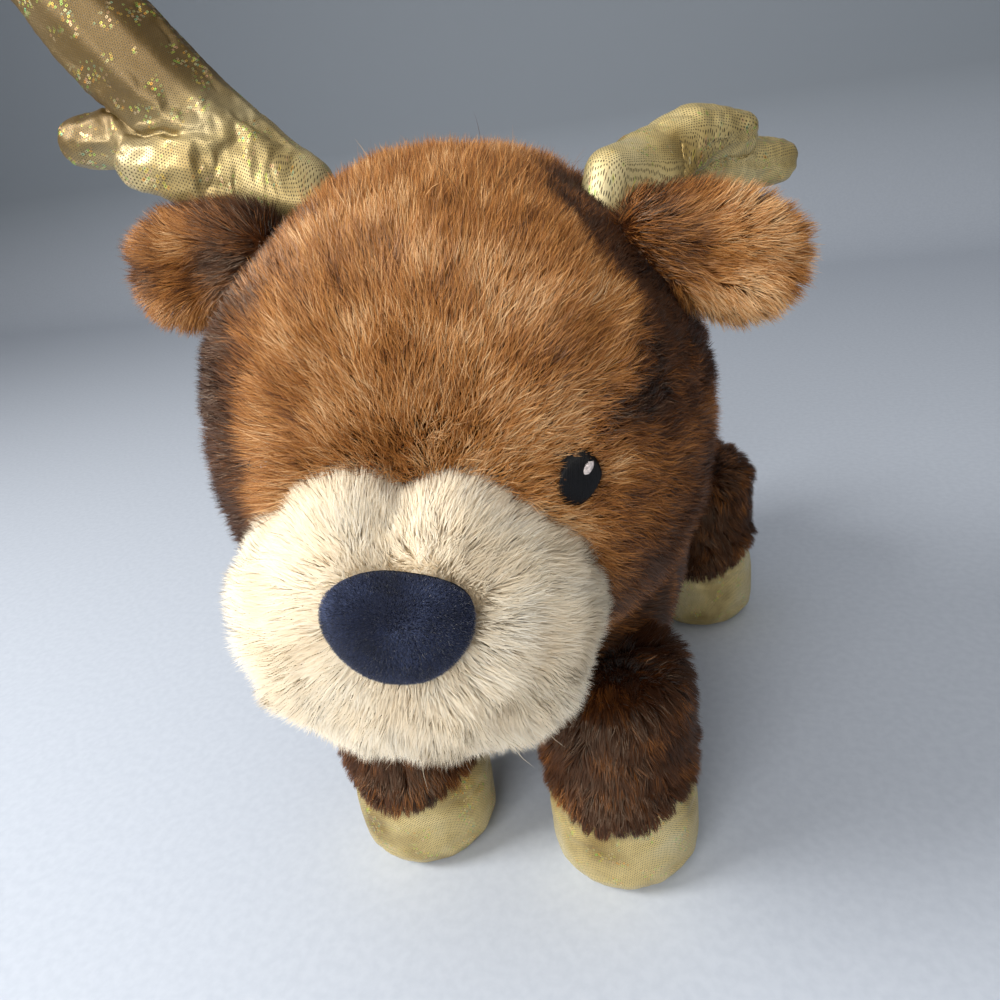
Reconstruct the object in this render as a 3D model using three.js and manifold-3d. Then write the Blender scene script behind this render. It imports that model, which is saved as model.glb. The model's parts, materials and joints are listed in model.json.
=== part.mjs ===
// A plush deer: fur covers, gold cloth antlers and hooves, embroidered eyes and fibre stuffing.
// Millimetres, +Z up. The deer looks along -Y, so its own left side is +X.
import * as THREE from 'three';
import { mergeVertices } from 'three/addons/utils/BufferGeometryUtils.js';
import Module from 'manifold-3d';

const wasm = await Module();
wasm.setup();

const { degToRad } = THREE.MathUtils;

// Points nearer than this are one vertex
const mergeTolerance = 1e-4;

// Cloths, measured through their pile, and the clearances between pieces
const cloth = { brown: 9, cream: 11, gold: 1.2, seamGap: 0.3, fillEase: 1, flopGap: 0.8, cutOverrun: 4 };

// The head is a squarish egg. Its turn and tilt are how the toy holds it.
const head = {
  side: -3, place: -36, height: 206,
  halfWidth: 93, halfDepth: 87, halfHeight: 92, squareness: 2.35,
  turn: degToRad(6), tilt: degToRad(5),
};

// Everything on the head is placed in the head's own frame
const muzzle = {
  side: -2, forward: 75, drop: 34,
  halfWidth: 60, halfDepth: 46, halfHeight: 53, squareness: 2.3,
  topTaper: 0.1, notchDepth: 12, notchWidth: 13,
  cornerTrimShare: 0.15, trimStartShare: 0.4, trimEndShare: 0.95,
};
const nose = {
  side: 2.7, rise: 12.4, halfWidth: 20, halfHeight: 14.5, thickness: 2.4, squareness: 2.5, taper: 0.14,
};
const eye = {
  turn: degToRad(33), rise: 5, halfWidth: 6.4, halfHeight: 8.6, squareness: 2, recess: 4, depth: 3,
  glintRadius: 1.8, glintSide: 2.4, glintRise: 3.6, glintThickness: 0.8,
};
const ear = {
  side: 62, back: -10, height: 59, length: 56, halfWidth: 22, halfThickness: 13,
  rootTuck: 1, rootThicknessShare: 0.65, squareness: 2.3, seamSlant: degToRad(36),
  sweep: degToRad(4), droop: degToRad(6), flopFront: degToRad(25), flopBack: degToRad(6),
};
const antler = {
  side: 54, back: 11, height: 81.5, flatness: 0.86,
  rootRadius: 11, rootHoleRadius: 6,
  palmOut: 20, palmUp: 20, palmRadius: 18,
  beamMidOut: 42, beamMidUp: 64, beamMidRadius: 21,
  beamTipOut: 56, beamTipUp: 103, beamTipRadius: 16,
  upperMidOut: 44, upperMidUp: 34, upperMidRadius: 14,
  upperTipOut: 72, upperTipUp: 44, upperTipRadius: 11,
  lowerMidOut: 31, lowerMidUp: 21, lowerMidRadius: 13.5,
  lowerTipOut: 50, lowerTipUp: 28, lowerTipRadius: 11,
  lowerForward: 10,
};
// The photographed toy stands its right antler up and lets its left one fall back
const antlerPose = {
  right: { lean: degToRad(-4), spread: degToRad(20), forward: degToRad(6), back: degToRad(70) },
  left: { lean: degToRad(92), spread: degToRad(-12), forward: degToRad(75), back: degToRad(4) },
};

const body = {
  front: -80, rear: 184, height: 104,
  halfWidth: 73, halfHeight: 56, squareness: 2.6, rumpWiden: 3,
};
const leg = {
  frontSide: 47, frontPlace: -50, hindSide: 72, hindPlace: 148,
  radius: 34, ankleNarrow: 3, ankleRise: 12, top: 112, topDome: 24, boreTop: 98,
};
const hoof = {
  radius: 31.5, height: 46, wave: 5, sole: 23, toeRise: 15, toeSteps: 2,
  shoulder: 8, tuckRise: 4, tuckNarrow: 4.5, mouthRadius: 22,
};
const tail = {
  height: 128, sink: 5, rootTuck: 3, length: 38, halfWidth: 18, halfThickness: 12,
  rootThicknessShare: 0.4, squareness: 2.3, lift: degToRad(30), flopUp: degToRad(20), flopDown: degToRad(15),
};

const detail = {
  headSides: 28, headRings: 16, bodySides: 24, bodyRings: 16, muzzleSides: 24, muzzleRings: 14,
  fillSides: 14, fillRings: 8, pocketSides: 10, pocketRings: 8, pocketPoses: 4,
  earSides: 16, earRings: 10, beamSides: 10, beamRings: 3, tineSides: 8, tineRings: 2, capRings: 2,
  coreSides: 8, legSides: 16, domeRings: 3, eyeSides: 12, glintSides: 6, noseSides: 20,
};

const look = (color, roughness, metalness = 0) =>
  new THREE.MeshStandardMaterial({ color, roughness, metalness });
const brownFur = () => look(0x8a5a36, 0.9);
const creamFur = () => look(0xe9d6b4, 0.9);
const goldFoil = () => look(0xb9a05c, 0.35, 0.7);
const navyVelour = () => look(0x272b3c, 0.95);
const blackThread = () => look(0x141416, 0.5);
const paleThread = () => look(0xd8d8d4, 0.5);
const fibre = () => look(0xf4f4f0, 1);

// Solids and their booleans

function solidOf(geometry) {
  const bare = geometry.clone();
  bare.deleteAttribute('normal');
  bare.deleteAttribute('uv');
  const merged = mergeVertices(bare, mergeTolerance);
  return new wasm.Manifold(new wasm.Mesh({
    numProp: 3,
    vertProperties: new Float32Array(merged.attributes.position.array),
    triVerts: new Uint32Array(merged.index.array),
  }));
}

function geometryOf(solid) {
  const mesh = solid.getMesh();
  const geometry = new THREE.BufferGeometry();
  const places = new Float32Array(mesh.vertProperties);
  geometry.setAttribute('position', new THREE.BufferAttribute(places, 3));
  geometry.setIndex(new THREE.BufferAttribute(new Uint32Array(mesh.triVerts), 1));
  return geometry;
}

const cut = (solid, ...cutters) => cutters.reduce((left, cutter) => left.subtract(cutter), solid);
const join = (first, ...others) => others.reduce((sum, other) => sum.add(other), first);

function mirrored(geometry) {
  geometry.applyMatrix4(new THREE.Matrix4().makeScale(-1, 1, 1));
  const order = geometry.index.array;
  for (let i = 0; i < order.length; i += 3) {
    [order[i], order[i + 1]] = [order[i + 1], order[i]];
  }
  return geometry;
}

// Form makers

// A sphere swollen towards a box as squareness grows, then shaped point by point
function swollenForm(half, squareness, sides, rings, shape = null) {
  const geometry = new THREE.SphereGeometry(1, sides, rings).rotateX(Math.PI / 2);
  const places = geometry.attributes.position;
  const point = new THREE.Vector3();
  for (let i = 0; i < places.count; i += 1) {
    point.fromBufferAttribute(places, i);
    const sum = ['x', 'y', 'z'].reduce((total, key) => total + Math.abs(point[key]) ** squareness, 0);
    point.multiplyScalar(sum ** (-1 / squareness)).multiply(half);
    if (shape) shape(point);
    places.setXYZ(i, point.x, point.y, point.z);
  }
  return geometry;
}

// Rings of one round section along a curve, closed by rounded ends. The section lies flat in Y.
function limbForm(stations, sides, ringsPerSpan, flatness) {
  const route = new THREE.CatmullRomCurve3(stations.map((station) => station.at));
  const spans = stations.length - 1;
  const rings = [];
  const capRing = (t, radius, turn, end) => {
    rings.push({ t, radius: Math.sin(turn) * radius, shift: end * Math.cos(turn) * radius });
  };
  const capTurn = Math.PI / 2 / (detail.capRings + 1);
  for (let i = 1; i <= detail.capRings; i += 1) capRing(0, stations[0].radius, i * capTurn, -1);
  for (let i = 0; i <= spans * ringsPerSpan; i += 1) {
    const t = i / (spans * ringsPerSpan);
    const span = Math.min(spans - 1, Math.floor(t * spans));
    const ease = THREE.MathUtils.smoothstep(t * spans - span, 0, 1);
    const radius = THREE.MathUtils.lerp(stations[span].radius, stations[span + 1].radius, ease);
    rings.push({ t, radius, shift: 0 });
  }
  for (let i = detail.capRings; i > 0; i -= 1) capRing(1, stations[spans].radius, i * capTurn, 1);

  const thick = new THREE.Vector3(0, 1, 0);
  const places = [];
  const addPoint = (point) => places.push(point.x, point.y, point.z);
  for (const { t, radius, shift } of rings) {
    const along = route.getTangent(t);
    const centre = route.getPoint(t).addScaledVector(along, shift);
    const across = new THREE.Vector3().crossVectors(along, thick).normalize();
    for (let side = 0; side < sides; side += 1) {
      const turn = (side / sides) * 2 * Math.PI;
      addPoint(centre.clone()
        .addScaledVector(across, Math.cos(turn) * radius)
        .addScaledVector(thick, Math.sin(turn) * radius * flatness));
    }
  }
  addPoint(route.getPoint(0).addScaledVector(route.getTangent(0), -stations[0].radius));
  addPoint(route.getPoint(1).addScaledVector(route.getTangent(1), stations[spans].radius));

  const faces = [];
  const firstPole = rings.length * sides;
  for (let side = 0; side < sides; side += 1) {
    const next = (side + 1) % sides;
    for (let ring = 0; ring < rings.length - 1; ring += 1) {
      const near = ring * sides;
      const far = near + sides;
      faces.push(near + side, far + side, near + next, near + next, far + side, far + next);
    }
    const lastRing = (rings.length - 1) * sides;
    faces.push(firstPole, side, next, firstPole + 1, lastRing + next, lastRing + side);
  }
  const geometry = new THREE.BufferGeometry();
  geometry.setAttribute('position', new THREE.BufferAttribute(new Float32Array(places), 3));
  geometry.setIndex(faces);
  return geometry;
}

// A profile of [radius, height] points turned about the Z axis
function turnedForm(profile, sides) {
  const outline = profile.map(([radius, height]) => new THREE.Vector2(radius, height));
  return new THREE.LatheGeometry(outline, sides).rotateX(Math.PI / 2);
}

// An oval outline pushed along +Y from the origin
function ovalPlug(halfWidth, halfHeight, squareness, taper, length, sides) {
  const outline = [];
  for (let side = 0; side < sides; side += 1) {
    const turn = (side / sides) * 2 * Math.PI;
    const across = Math.cos(turn);
    const up = Math.sin(turn);
    const reach = (Math.abs(across) ** squareness + Math.abs(up) ** squareness) ** (-1 / squareness);
    const narrow = 1 + taper * up * reach;
    outline.push(new THREE.Vector2(across * reach * halfWidth * narrow, up * reach * halfHeight));
  }
  const plug = new THREE.ExtrudeGeometry(new THREE.Shape(outline), {
    depth: length, bevelEnabled: false, steps: 1,
  });
  return plug.rotateX(Math.PI / 2).translate(0, length, 0);
}

// The head and what it carries. An inset draws a form in, and a negative one lets it grow.

const headFrame = new THREE.Matrix4()
  .makeRotationFromEuler(new THREE.Euler(0, head.tilt, head.turn, 'ZYX'))
  .setPosition(head.side, head.place, head.height);

const halfSizes = (form, inset) =>
  new THREE.Vector3(form.halfWidth - inset, form.halfDepth - inset, form.halfHeight - inset);

function headForm(inset, sides = detail.headSides, rings = detail.headRings) {
  const form = swollenForm(halfSizes(head, inset), head.squareness, sides, rings);
  return solidOf(form.applyMatrix4(headFrame));
}

// By what share a point in the muzzle's upper corners is drawn in
function muzzleTrim(point, half) {
  const across = Math.abs(point.x) / half.x;
  const rise = Math.max(0, point.z) / half.z;
  const corner = Math.sin(2 * Math.atan2(rise, across)) ** 2;
  const reach = Math.hypot(across, rise);
  const rim = THREE.MathUtils.smoothstep(reach, muzzle.trimStartShare, muzzle.trimEndShare);
  return muzzle.cornerTrimShare * corner * rim;
}

function muzzleForm(inset, sides = detail.muzzleSides, rings = detail.muzzleRings) {
  const half = halfSizes(muzzle, inset);
  const form = swollenForm(half, muzzle.squareness, sides, rings, (point) => {
    const kept = 1 - muzzleTrim(point, half);
    point.x *= kept;
    point.z *= kept;
    const rise = point.z / half.z;
    point.x *= 1 - muzzle.topTaper * rise;
    const cleft = Math.exp(-((point.x / muzzle.notchWidth) ** 2));
    point.z -= muzzle.notchDepth * Math.max(0, rise) * cleft;
  });
  return solidOf(form.translate(muzzle.side, -muzzle.forward, -muzzle.drop).applyMatrix4(headFrame));
}

function nosePlug() {
  const plug = ovalPlug(nose.halfWidth, nose.halfHeight, nose.squareness, nose.taper,
    muzzle.forward, detail.noseSides);
  const front = muzzle.forward + muzzle.halfDepth + cloth.cutOverrun;
  return solidOf(plug.translate(nose.side, -front, nose.rise - muzzle.drop).applyMatrix4(headFrame));
}

function eyePlug(mirror, halfWidth, halfHeight, side = 0, rise = 0, sides = detail.eyeSides) {
  const plug = ovalPlug(halfWidth, halfHeight, eye.squareness, 0, head.halfDepth, sides);
  plug.translate(side, -head.halfDepth - head.halfWidth / 2, rise + eye.rise);
  return solidOf(plug.rotateZ(mirror * eye.turn).applyMatrix4(headFrame));
}

// Ears, antlers and tail flop about their seams. A flop is the turn away from how they rest.

const earSeam = new THREE.Vector3(-Math.sin(ear.seamSlant), 0, Math.cos(ear.seamSlant));

function placeEar(form, mirror, flop) {
  form.rotateY(ear.droop).rotateZ(-ear.sweep);
  form.applyMatrix4(new THREE.Matrix4().makeRotationAxis(earSeam, -flop));
  const placed = mirror < 0 ? mirrored(form) : form;
  return placed.translate(mirror * ear.side, ear.back, ear.height).applyMatrix4(headFrame);
}

function earForm(mirror, inset = 0, flop = 0, sides = detail.earSides, rings = detail.earRings) {
  const reach = (ear.length + ear.rootTuck) / 2;
  const half = new THREE.Vector3(reach - inset, ear.halfThickness - inset, ear.halfWidth - inset);
  const form = swollenForm(half, ear.squareness, sides, rings, (point) => {
    const share = THREE.MathUtils.smoothstep(point.x, -half.x, half.x);
    point.y *= THREE.MathUtils.lerp(ear.rootThicknessShare, 1, Math.min(1, 2 * share));
    point.x -= Math.tan(ear.seamSlant) * point.z * (1 - share);
  });
  return solidOf(placeEar(form.translate(reach - ear.rootTuck, 0, 0), mirror, flop));
}

// One of the two cloths that are sewn edge to edge: front is 1 for the one that faces forwards
function earPanel(mirror, front) {
  const size = 2 * (ear.length + ear.halfWidth);
  const slab = new THREE.BoxGeometry(size, size, size);
  slab.translate(0, -front * (size + cloth.seamGap) / 2, 0);
  return earForm(mirror).intersect(solidOf(placeEar(slab, mirror, 0)));
}

function placeAntler(form, mirror, pose, flop = 0) {
  form.rotateY(pose.spread).rotateX(-pose.lean - flop);
  const placed = mirror < 0 ? mirrored(form) : form;
  return placed.translate(mirror * antler.side, antler.back, antler.height).applyMatrix4(headFrame);
}

function antlerForm(mirror, pose, inset = 0, beamSides = detail.beamSides, tineSides = detail.tineSides) {
  const station = (out, up, radius, forward = 0) =>
    ({ at: new THREE.Vector3(out, -forward, up), radius: radius - inset });
  const root = station(0, 0, antler.rootRadius);
  const palm = station(antler.palmOut, antler.palmUp, antler.palmRadius);
  const fork = station(antler.palmOut / 2, antler.palmUp / 2, antler.rootRadius);
  const beam = [root, palm,
    station(antler.beamMidOut, antler.beamMidUp, antler.beamMidRadius),
    station(antler.beamTipOut, antler.beamTipUp, antler.beamTipRadius)];
  const upper = [fork,
    station(antler.upperMidOut, antler.upperMidUp, antler.upperMidRadius),
    station(antler.upperTipOut, antler.upperTipUp, antler.upperTipRadius)];
  const lower = [fork,
    station(antler.lowerMidOut, antler.lowerMidUp, antler.lowerMidRadius, antler.lowerForward),
    station(antler.lowerTipOut, antler.lowerTipUp, antler.lowerTipRadius, antler.lowerForward)];
  const limb = (stations, sides, rings) =>
    solidOf(placeAntler(limbForm(stations, sides, rings, antler.flatness), mirror, pose));
  return join(limb(beam, beamSides, detail.beamRings),
    limb(upper, tineSides, detail.tineRings), limb(lower, tineSides, detail.tineRings));
}

// The ball at the antler's root and the stem above it, which part the pile however it leans
function antlerStem(mirror, pose, flop) {
  const radius = antler.rootRadius + cloth.flopGap;
  const stem = limbForm([
    { at: new THREE.Vector3(), radius },
    { at: new THREE.Vector3(antler.palmOut, 0, antler.palmUp), radius: antler.palmRadius },
  ], detail.pocketSides, detail.beamRings, 1);
  return solidOf(placeAntler(stem, mirror, pose, flop));
}

// The open end of the antler's cloth, where it is sewn down: it faces into the head
function antlerMouth(mirror) {
  const inwards = new THREE.Vector3(-antler.side, -antler.back, -antler.height).normalize();
  const length = antler.rootRadius + cloth.cutOverrun;
  const hole = new THREE.CylinderGeometry(
    antler.rootHoleRadius, antler.rootHoleRadius, length, detail.tineSides);
  hole.applyQuaternion(new THREE.Quaternion().setFromUnitVectors(new THREE.Vector3(0, 1, 0), inwards));
  hole.translate(...inwards.multiplyScalar(length / 2));
  const placed = mirror < 0 ? mirrored(hole) : hole;
  placed.translate(mirror * antler.side, antler.back, antler.height);
  return solidOf(placed.applyMatrix4(headFrame));
}

// The body, its tail and legs

function bodyForm(inset, sides = detail.bodySides, rings = detail.bodyRings) {
  const halfDepth = (body.rear - body.front) / 2;
  const half = halfSizes({ ...body, halfDepth }, inset);
  const form = swollenForm(half, body.squareness, sides, rings, (point) => {
    point.x += body.rumpWiden * (point.y / half.y) * (point.x / half.x);
  });
  return solidOf(form.translate(0, (body.front + body.rear) / 2, body.height));
}

function placeTail(form, flop) {
  const halfDepth = (body.rear - body.front) / 2;
  const rise = (tail.height - body.height) / body.halfHeight;
  const surface = (body.front + body.rear) / 2
    + halfDepth * (1 - rise ** body.squareness) ** (1 / body.squareness);
  return form.rotateX(tail.lift + flop).translate(0, surface - tail.sink, tail.height);
}

function tailForm(inset = 0, flop = 0, sides = detail.earSides, rings = detail.earRings) {
  const reach = (tail.length + tail.rootTuck) / 2;
  const half = new THREE.Vector3(tail.halfWidth - inset, reach - inset, tail.halfThickness - inset);
  const form = swollenForm(half, tail.squareness, sides, rings, (point) => {
    const share = THREE.MathUtils.smoothstep(point.y, -half.y, 0);
    point.z *= THREE.MathUtils.lerp(tail.rootThicknessShare, 1, share);
  });
  return solidOf(placeTail(form.translate(0, reach - tail.rootTuck, 0), flop));
}

function tailPanel(top) {
  const size = 2 * (tail.length + tail.halfWidth);
  const slab = new THREE.BoxGeometry(size, size, size);
  slab.translate(0, 0, top * (size + cloth.seamGap) / 2);
  return tailForm().intersect(solidOf(placeTail(slab, 0)));
}

function legForm(place, inset) {
  const radius = leg.radius - inset;
  const ankle = hoof.height - hoof.wave - cloth.cutOverrun + inset;
  const shoulder = leg.top - leg.topDome;
  const profile = [[0, ankle], [radius - leg.ankleNarrow, ankle], [radius, ankle + leg.ankleRise]];
  for (let ring = 0; ring <= detail.domeRings; ring += 1) {
    const turn = (ring / detail.domeRings) * (Math.PI / 2);
    const reach = ring < detail.domeRings ? Math.cos(turn) * radius : 0;
    profile.push([reach, shoulder + Math.sin(turn) * (leg.topDome - inset)]);
  }
  return solidOf(turnedForm(profile, detail.legSides).translate(place.x, place.y, 0));
}

function hoofForm(place, inset) {
  const radius = hoof.radius - inset;
  const profile = [[0, inset]];
  for (let step = 0; step <= hoof.toeSteps; step += 1) {
    const turn = (step / hoof.toeSteps) * (Math.PI / 2);
    const reach = hoof.sole + (hoof.radius - hoof.sole) * Math.sin(turn) - inset;
    profile.push([reach, inset + (hoof.toeRise - inset) * (1 - Math.cos(turn))]);
  }
  profile.push([radius, hoof.height - hoof.shoulder],
    [radius - hoof.tuckNarrow, hoof.height + hoof.tuckRise - inset],
    [0, hoof.height + hoof.tuckRise - inset]);
  return solidOf(turnedForm(profile, detail.legSides).translate(place.x, place.y, 0));
}

function disc(place, radius, bottom, top) {
  const profile = [[0, bottom], [radius, bottom], [radius, top], [0, top]];
  return solidOf(turnedForm(profile, detail.legSides).translate(place.x, place.y, 0));
}

// The straight bore that a leg's filling stands in, from inside the hoof up into the body
const legBore = (place, inset) =>
  disc(place, leg.radius - cloth.brown - inset, hoof.height + hoof.tuckRise, leg.boreTop);

// All that lies below the wavy edge where a leg's fur meets its hoof
function belowFurEdge(place) {
  const radius = leg.radius + cloth.cutOverrun;
  const block = new THREE.CylinderGeometry(radius, radius, hoof.height, detail.legSides);
  block.rotateX(Math.PI / 2).translate(0, 0, hoof.height / 2);
  const places = block.attributes.position;
  for (let i = 0; i < places.count; i += 1) {
    if (places.getZ(i) < hoof.height / 2) {
      places.setZ(i, -cloth.cutOverrun);
    } else {
      const turn = Math.atan2(places.getX(i), places.getY(i));
      const rim = Math.hypot(places.getX(i), places.getY(i)) / radius;
      places.setZ(i, hoof.height - rim * hoof.wave * Math.cos(2 * turn));
    }
  }
  return solidOf(block.translate(place.x, place.y, 0));
}

const legPlaces = [];
for (const [side, mirror] of [['left', 1], ['right', -1]]) {
  legPlaces.push({ name: `front_${side}`, x: mirror * leg.frontSide, y: leg.frontPlace });
  legPlaces.push({ name: `hind_${side}`, x: mirror * leg.hindSide, y: leg.hindPlace });
}
const sides = [
  { name: 'left', mirror: 1, pose: antlerPose.left },
  { name: 'right', mirror: -1, pose: antlerPose.right },
];

// All the room that a form takes as it flops
function swept(form, backwards, forwards) {
  const poses = [];
  for (let i = 0; i < detail.pocketPoses; i += 1) {
    poses.push(form(THREE.MathUtils.lerp(-backwards, forwards, i / (detail.pocketPoses - 1))));
  }
  return join(...poses);
}

// The group tree. Every solid is worked out in the toy's frame, then hung in its group's own.

const deer = new THREE.Group();
const headGroup = new THREE.Group();
headGroup.position.set(head.side, head.place, head.height);
headGroup.rotation.set(0, head.tilt, head.turn, 'ZYX');
deer.add(headGroup);
deer.updateMatrixWorld(true);

function hang(group, name, solid, material) {
  const geometry = geometryOf(solid).applyMatrix4(group.matrixWorld.clone().invert());
  const mesh = new THREE.Mesh(geometry, material);
  mesh.name = name;
  group.add(mesh);
}

function makeHead() {
  const { brown, cream, gold, seamGap, fillEase, flopGap } = cloth;
  const { fillSides, fillRings, pocketSides, pocketRings } = detail;
  const pockets = [];
  for (const { name, mirror, pose } of sides) {
    pockets.push(swept((flop) => earForm(mirror, -2 * flopGap, flop, pocketSides, pocketRings),
      ear.flopBack, ear.flopFront));
    pockets.push(swept((flop) => antlerStem(mirror, pose, flop), pose.forward, pose.back));
    pockets.push(cut(eyePlug(mirror, eye.halfWidth + seamGap, eye.halfHeight + seamGap),
      headForm(eye.recess + eye.depth + seamGap)));
    hang(headGroup, `eye_${name}`, cut(
      eyePlug(mirror, eye.halfWidth, eye.halfHeight).intersect(headForm(eye.recess)),
      headForm(eye.recess + eye.depth)), blackThread());
    const glint = eyePlug(mirror, eye.glintRadius, eye.glintRadius,
      eye.glintSide, eye.glintRise, detail.glintSides);
    hang(headGroup, `eye_glint_${name}`, cut(
      glint.intersect(headForm(eye.recess - seamGap - eye.glintThickness)),
      headForm(eye.recess - seamGap)), paleThread());
    hang(headGroup, `ear_${name}_front`, earPanel(mirror, 1), brownFur());
    hang(headGroup, `ear_${name}_back`, earPanel(mirror, -1), brownFur());
    hang(headGroup, `antler_${name}_cover`, cut(
      antlerForm(mirror, pose), antlerForm(mirror, pose, gold), antlerMouth(mirror)), goldFoil());
    hang(headGroup, `antler_${name}_stuffing`,
      antlerForm(mirror, pose, gold + seamGap + fillEase, detail.coreSides, detail.coreSides), fibre());
  }
  const throat = muzzleForm(cream, fillSides, fillRings);
  const neck = bodyForm(brown, fillSides, fillRings);
  hang(headGroup, 'head_cover', cut(headForm(0),
    headForm(brown, fillSides, fillRings), throat, neck, ...pockets), brownFur());
  hang(headGroup, 'head_stuffing', cut(join(
    headForm(brown + seamGap, fillSides, fillRings),
    muzzleForm(cream + seamGap, fillSides, fillRings)), ...pockets), fibre());
  hang(headGroup, 'muzzle_cover', cut(muzzleForm(0), throat, headForm(-seamGap)), creamFur());
  hang(headGroup, 'nose_patch', cut(
    nosePlug().intersect(muzzleForm(-seamGap - nose.thickness)), muzzleForm(-seamGap)), navyVelour());
}

function makeLeg(place) {
  const { brown, gold, seamGap, cutOverrun } = cloth;
  const { fillSides, fillRings } = detail;
  const shoulder = hoof.height - hoof.shoulder;
  hang(deer, `${place.name}_leg_cover`, cut(legForm(place, 0), legBore(place, 0),
    bodyForm(-seamGap), belowFurEdge(place), hoofForm(place, -seamGap)), brownFur());
  hang(deer, `${place.name}_hoof_cover`, cut(hoofForm(place, 0), hoofForm(place, gold),
    disc(place, hoof.mouthRadius, shoulder, leg.boreTop),
    disc(place, hoof.sole + seamGap, -cutOverrun, hoof.toeRise / 2)), goldFoil());
  hang(deer, `${place.name}_hoof_sole`, disc(place, hoof.sole, 0, gold), goldFoil());
  hang(deer, `${place.name}_leg_stuffing`, cut(join(legBore(place, seamGap),
    hoofForm(place, gold + seamGap),
    disc(place, hoof.mouthRadius - seamGap, shoulder, leg.boreTop)),
  bodyForm(brown, fillSides, fillRings)), fibre());
}

function makeBody() {
  const { brown, seamGap, flopGap } = cloth;
  const { fillSides, fillRings, pocketSides, pocketRings } = detail;
  const inside = bodyForm(brown, fillSides, fillRings);
  const tailPocket = swept((flop) => tailForm(-2 * flopGap, flop, pocketSides, pocketRings),
    tail.flopDown, tail.flopUp);
  hang(deer, 'body_cover', cut(bodyForm(0), inside, headForm(-seamGap), tailPocket,
    ...legPlaces.map((place) => legBore(place, 0))), brownFur());
  hang(deer, 'body_stuffing', cut(bodyForm(brown + seamGap, fillSides, fillRings),
    headForm(brown, fillSides, fillRings)), fibre());
  hang(deer, 'tail_top', tailPanel(1), brownFur());
  hang(deer, 'tail_under', tailPanel(-1), brownFur());
  legPlaces.forEach(makeLeg);
}

makeHead();
makeBody();

// The origin is the middle of the bounding box's bottom
const extent = new THREE.Box3().setFromObject(deer, true);
const middle = extent.getCenter(new THREE.Vector3());
deer.position.set(-middle.x, -middle.y, -extent.min.z);

export default deer;
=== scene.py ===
"""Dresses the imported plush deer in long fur, foil-dot cloth, velour and embroidery."""
import json
import logging
import math
from collections.abc import Callable
from dataclasses import dataclass
from enum import Enum

import bmesh
import bpy
import numpy as np
from mathutils import Matrix, Vector, noise
from mathutils.bvhtree import BVHTree

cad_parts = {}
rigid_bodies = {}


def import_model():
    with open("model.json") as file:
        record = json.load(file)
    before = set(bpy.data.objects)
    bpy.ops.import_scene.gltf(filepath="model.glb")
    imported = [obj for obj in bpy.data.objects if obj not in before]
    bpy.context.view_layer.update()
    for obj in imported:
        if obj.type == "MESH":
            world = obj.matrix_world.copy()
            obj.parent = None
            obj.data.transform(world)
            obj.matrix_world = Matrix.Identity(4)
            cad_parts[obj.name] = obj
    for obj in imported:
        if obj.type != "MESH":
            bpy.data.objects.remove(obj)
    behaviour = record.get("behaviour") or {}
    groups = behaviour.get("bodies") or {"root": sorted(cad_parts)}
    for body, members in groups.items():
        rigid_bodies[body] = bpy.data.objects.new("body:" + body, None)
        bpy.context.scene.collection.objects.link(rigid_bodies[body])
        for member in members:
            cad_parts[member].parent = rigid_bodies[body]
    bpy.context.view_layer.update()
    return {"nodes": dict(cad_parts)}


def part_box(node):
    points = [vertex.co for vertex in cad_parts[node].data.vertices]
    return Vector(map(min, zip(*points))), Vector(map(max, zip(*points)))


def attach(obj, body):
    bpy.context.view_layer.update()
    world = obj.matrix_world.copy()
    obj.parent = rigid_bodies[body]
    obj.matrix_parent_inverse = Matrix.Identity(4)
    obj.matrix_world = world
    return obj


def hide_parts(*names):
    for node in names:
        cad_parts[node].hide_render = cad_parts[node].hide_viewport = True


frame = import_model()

log = logging.getLogger("deer")

MM = 0.001
UV_NAME = "OFBake"
WEAVE_NAME = "weave"
NOISE_SEED = 7
Socket = bpy.types.NodeSocket
Node = bpy.types.Node
Piece = bpy.types.Object


class Side(Enum):
    """Which side of the toy a piece is on. The value turns a left-hand size into its own."""

    LEFT = 1
    RIGHT = -1

    @property
    def word(self) -> str:
        """The side's name, as the frame's nodes are named."""
        return self.name.lower()


def rotation(angle: float, axis: str) -> np.ndarray:
    """A 3 by 3 turn in degrees about one axis: X, Y or Z."""
    return np.array(Matrix.Rotation(math.radians(angle), 3, axis))


def unit(vectors: np.ndarray) -> np.ndarray:
    """Vectors, one to a row, at a length of one. Zero ones stay near zero."""
    return vectors / np.maximum(np.linalg.norm(vectors, axis=-1, keepdims=True), 1e-9)


def smooth(value: np.ndarray, start: float, end: float) -> np.ndarray:
    """Eases from 0 where the value is start to 1 where it is end, which may lie below start."""
    share = np.clip((value - start) / (end - start), 0.0, 1.0)
    return share * share * (3.0 - 2.0 * share)


def bump_at(value: np.ndarray, middle: float, width: float) -> np.ndarray:
    """A round bump: 1 where the value is the middle, and near 0 beyond two widths from it."""
    return np.exp(-(((value - middle) / width) ** 2))


def waves(points: np.ndarray, size: float, salt: float = 0.0) -> np.ndarray:
    """Smooth noise of about -1 to 1 in three channels, in waves of a size. The salt shifts it."""
    return np.array([noise.noise_vector(Vector(place)) for place in points / size + salt])


def around(sides: int) -> np.ndarray:
    """The turns of so many even sides, in radians."""
    return np.arange(sides) / sides * 2 * math.pi


def last_inside(inside: Callable[[np.ndarray], np.ndarray], count: int) -> np.ndarray:
    """Where lines that run to the front leave a form, found by halving.

    Args:
        inside: Says of one place on each line whether it is inside the form.
        count: How many lines there are.

    Returns:
        The place on each line.
    """
    near, far = np.full(count, -0.2), np.zeros(count)
    for _ in range(26):
        middle = (near + far) / 2
        within = inside(middle)
        near, far = np.where(within, near, middle), np.where(within, middle, far)
    return near


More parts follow.
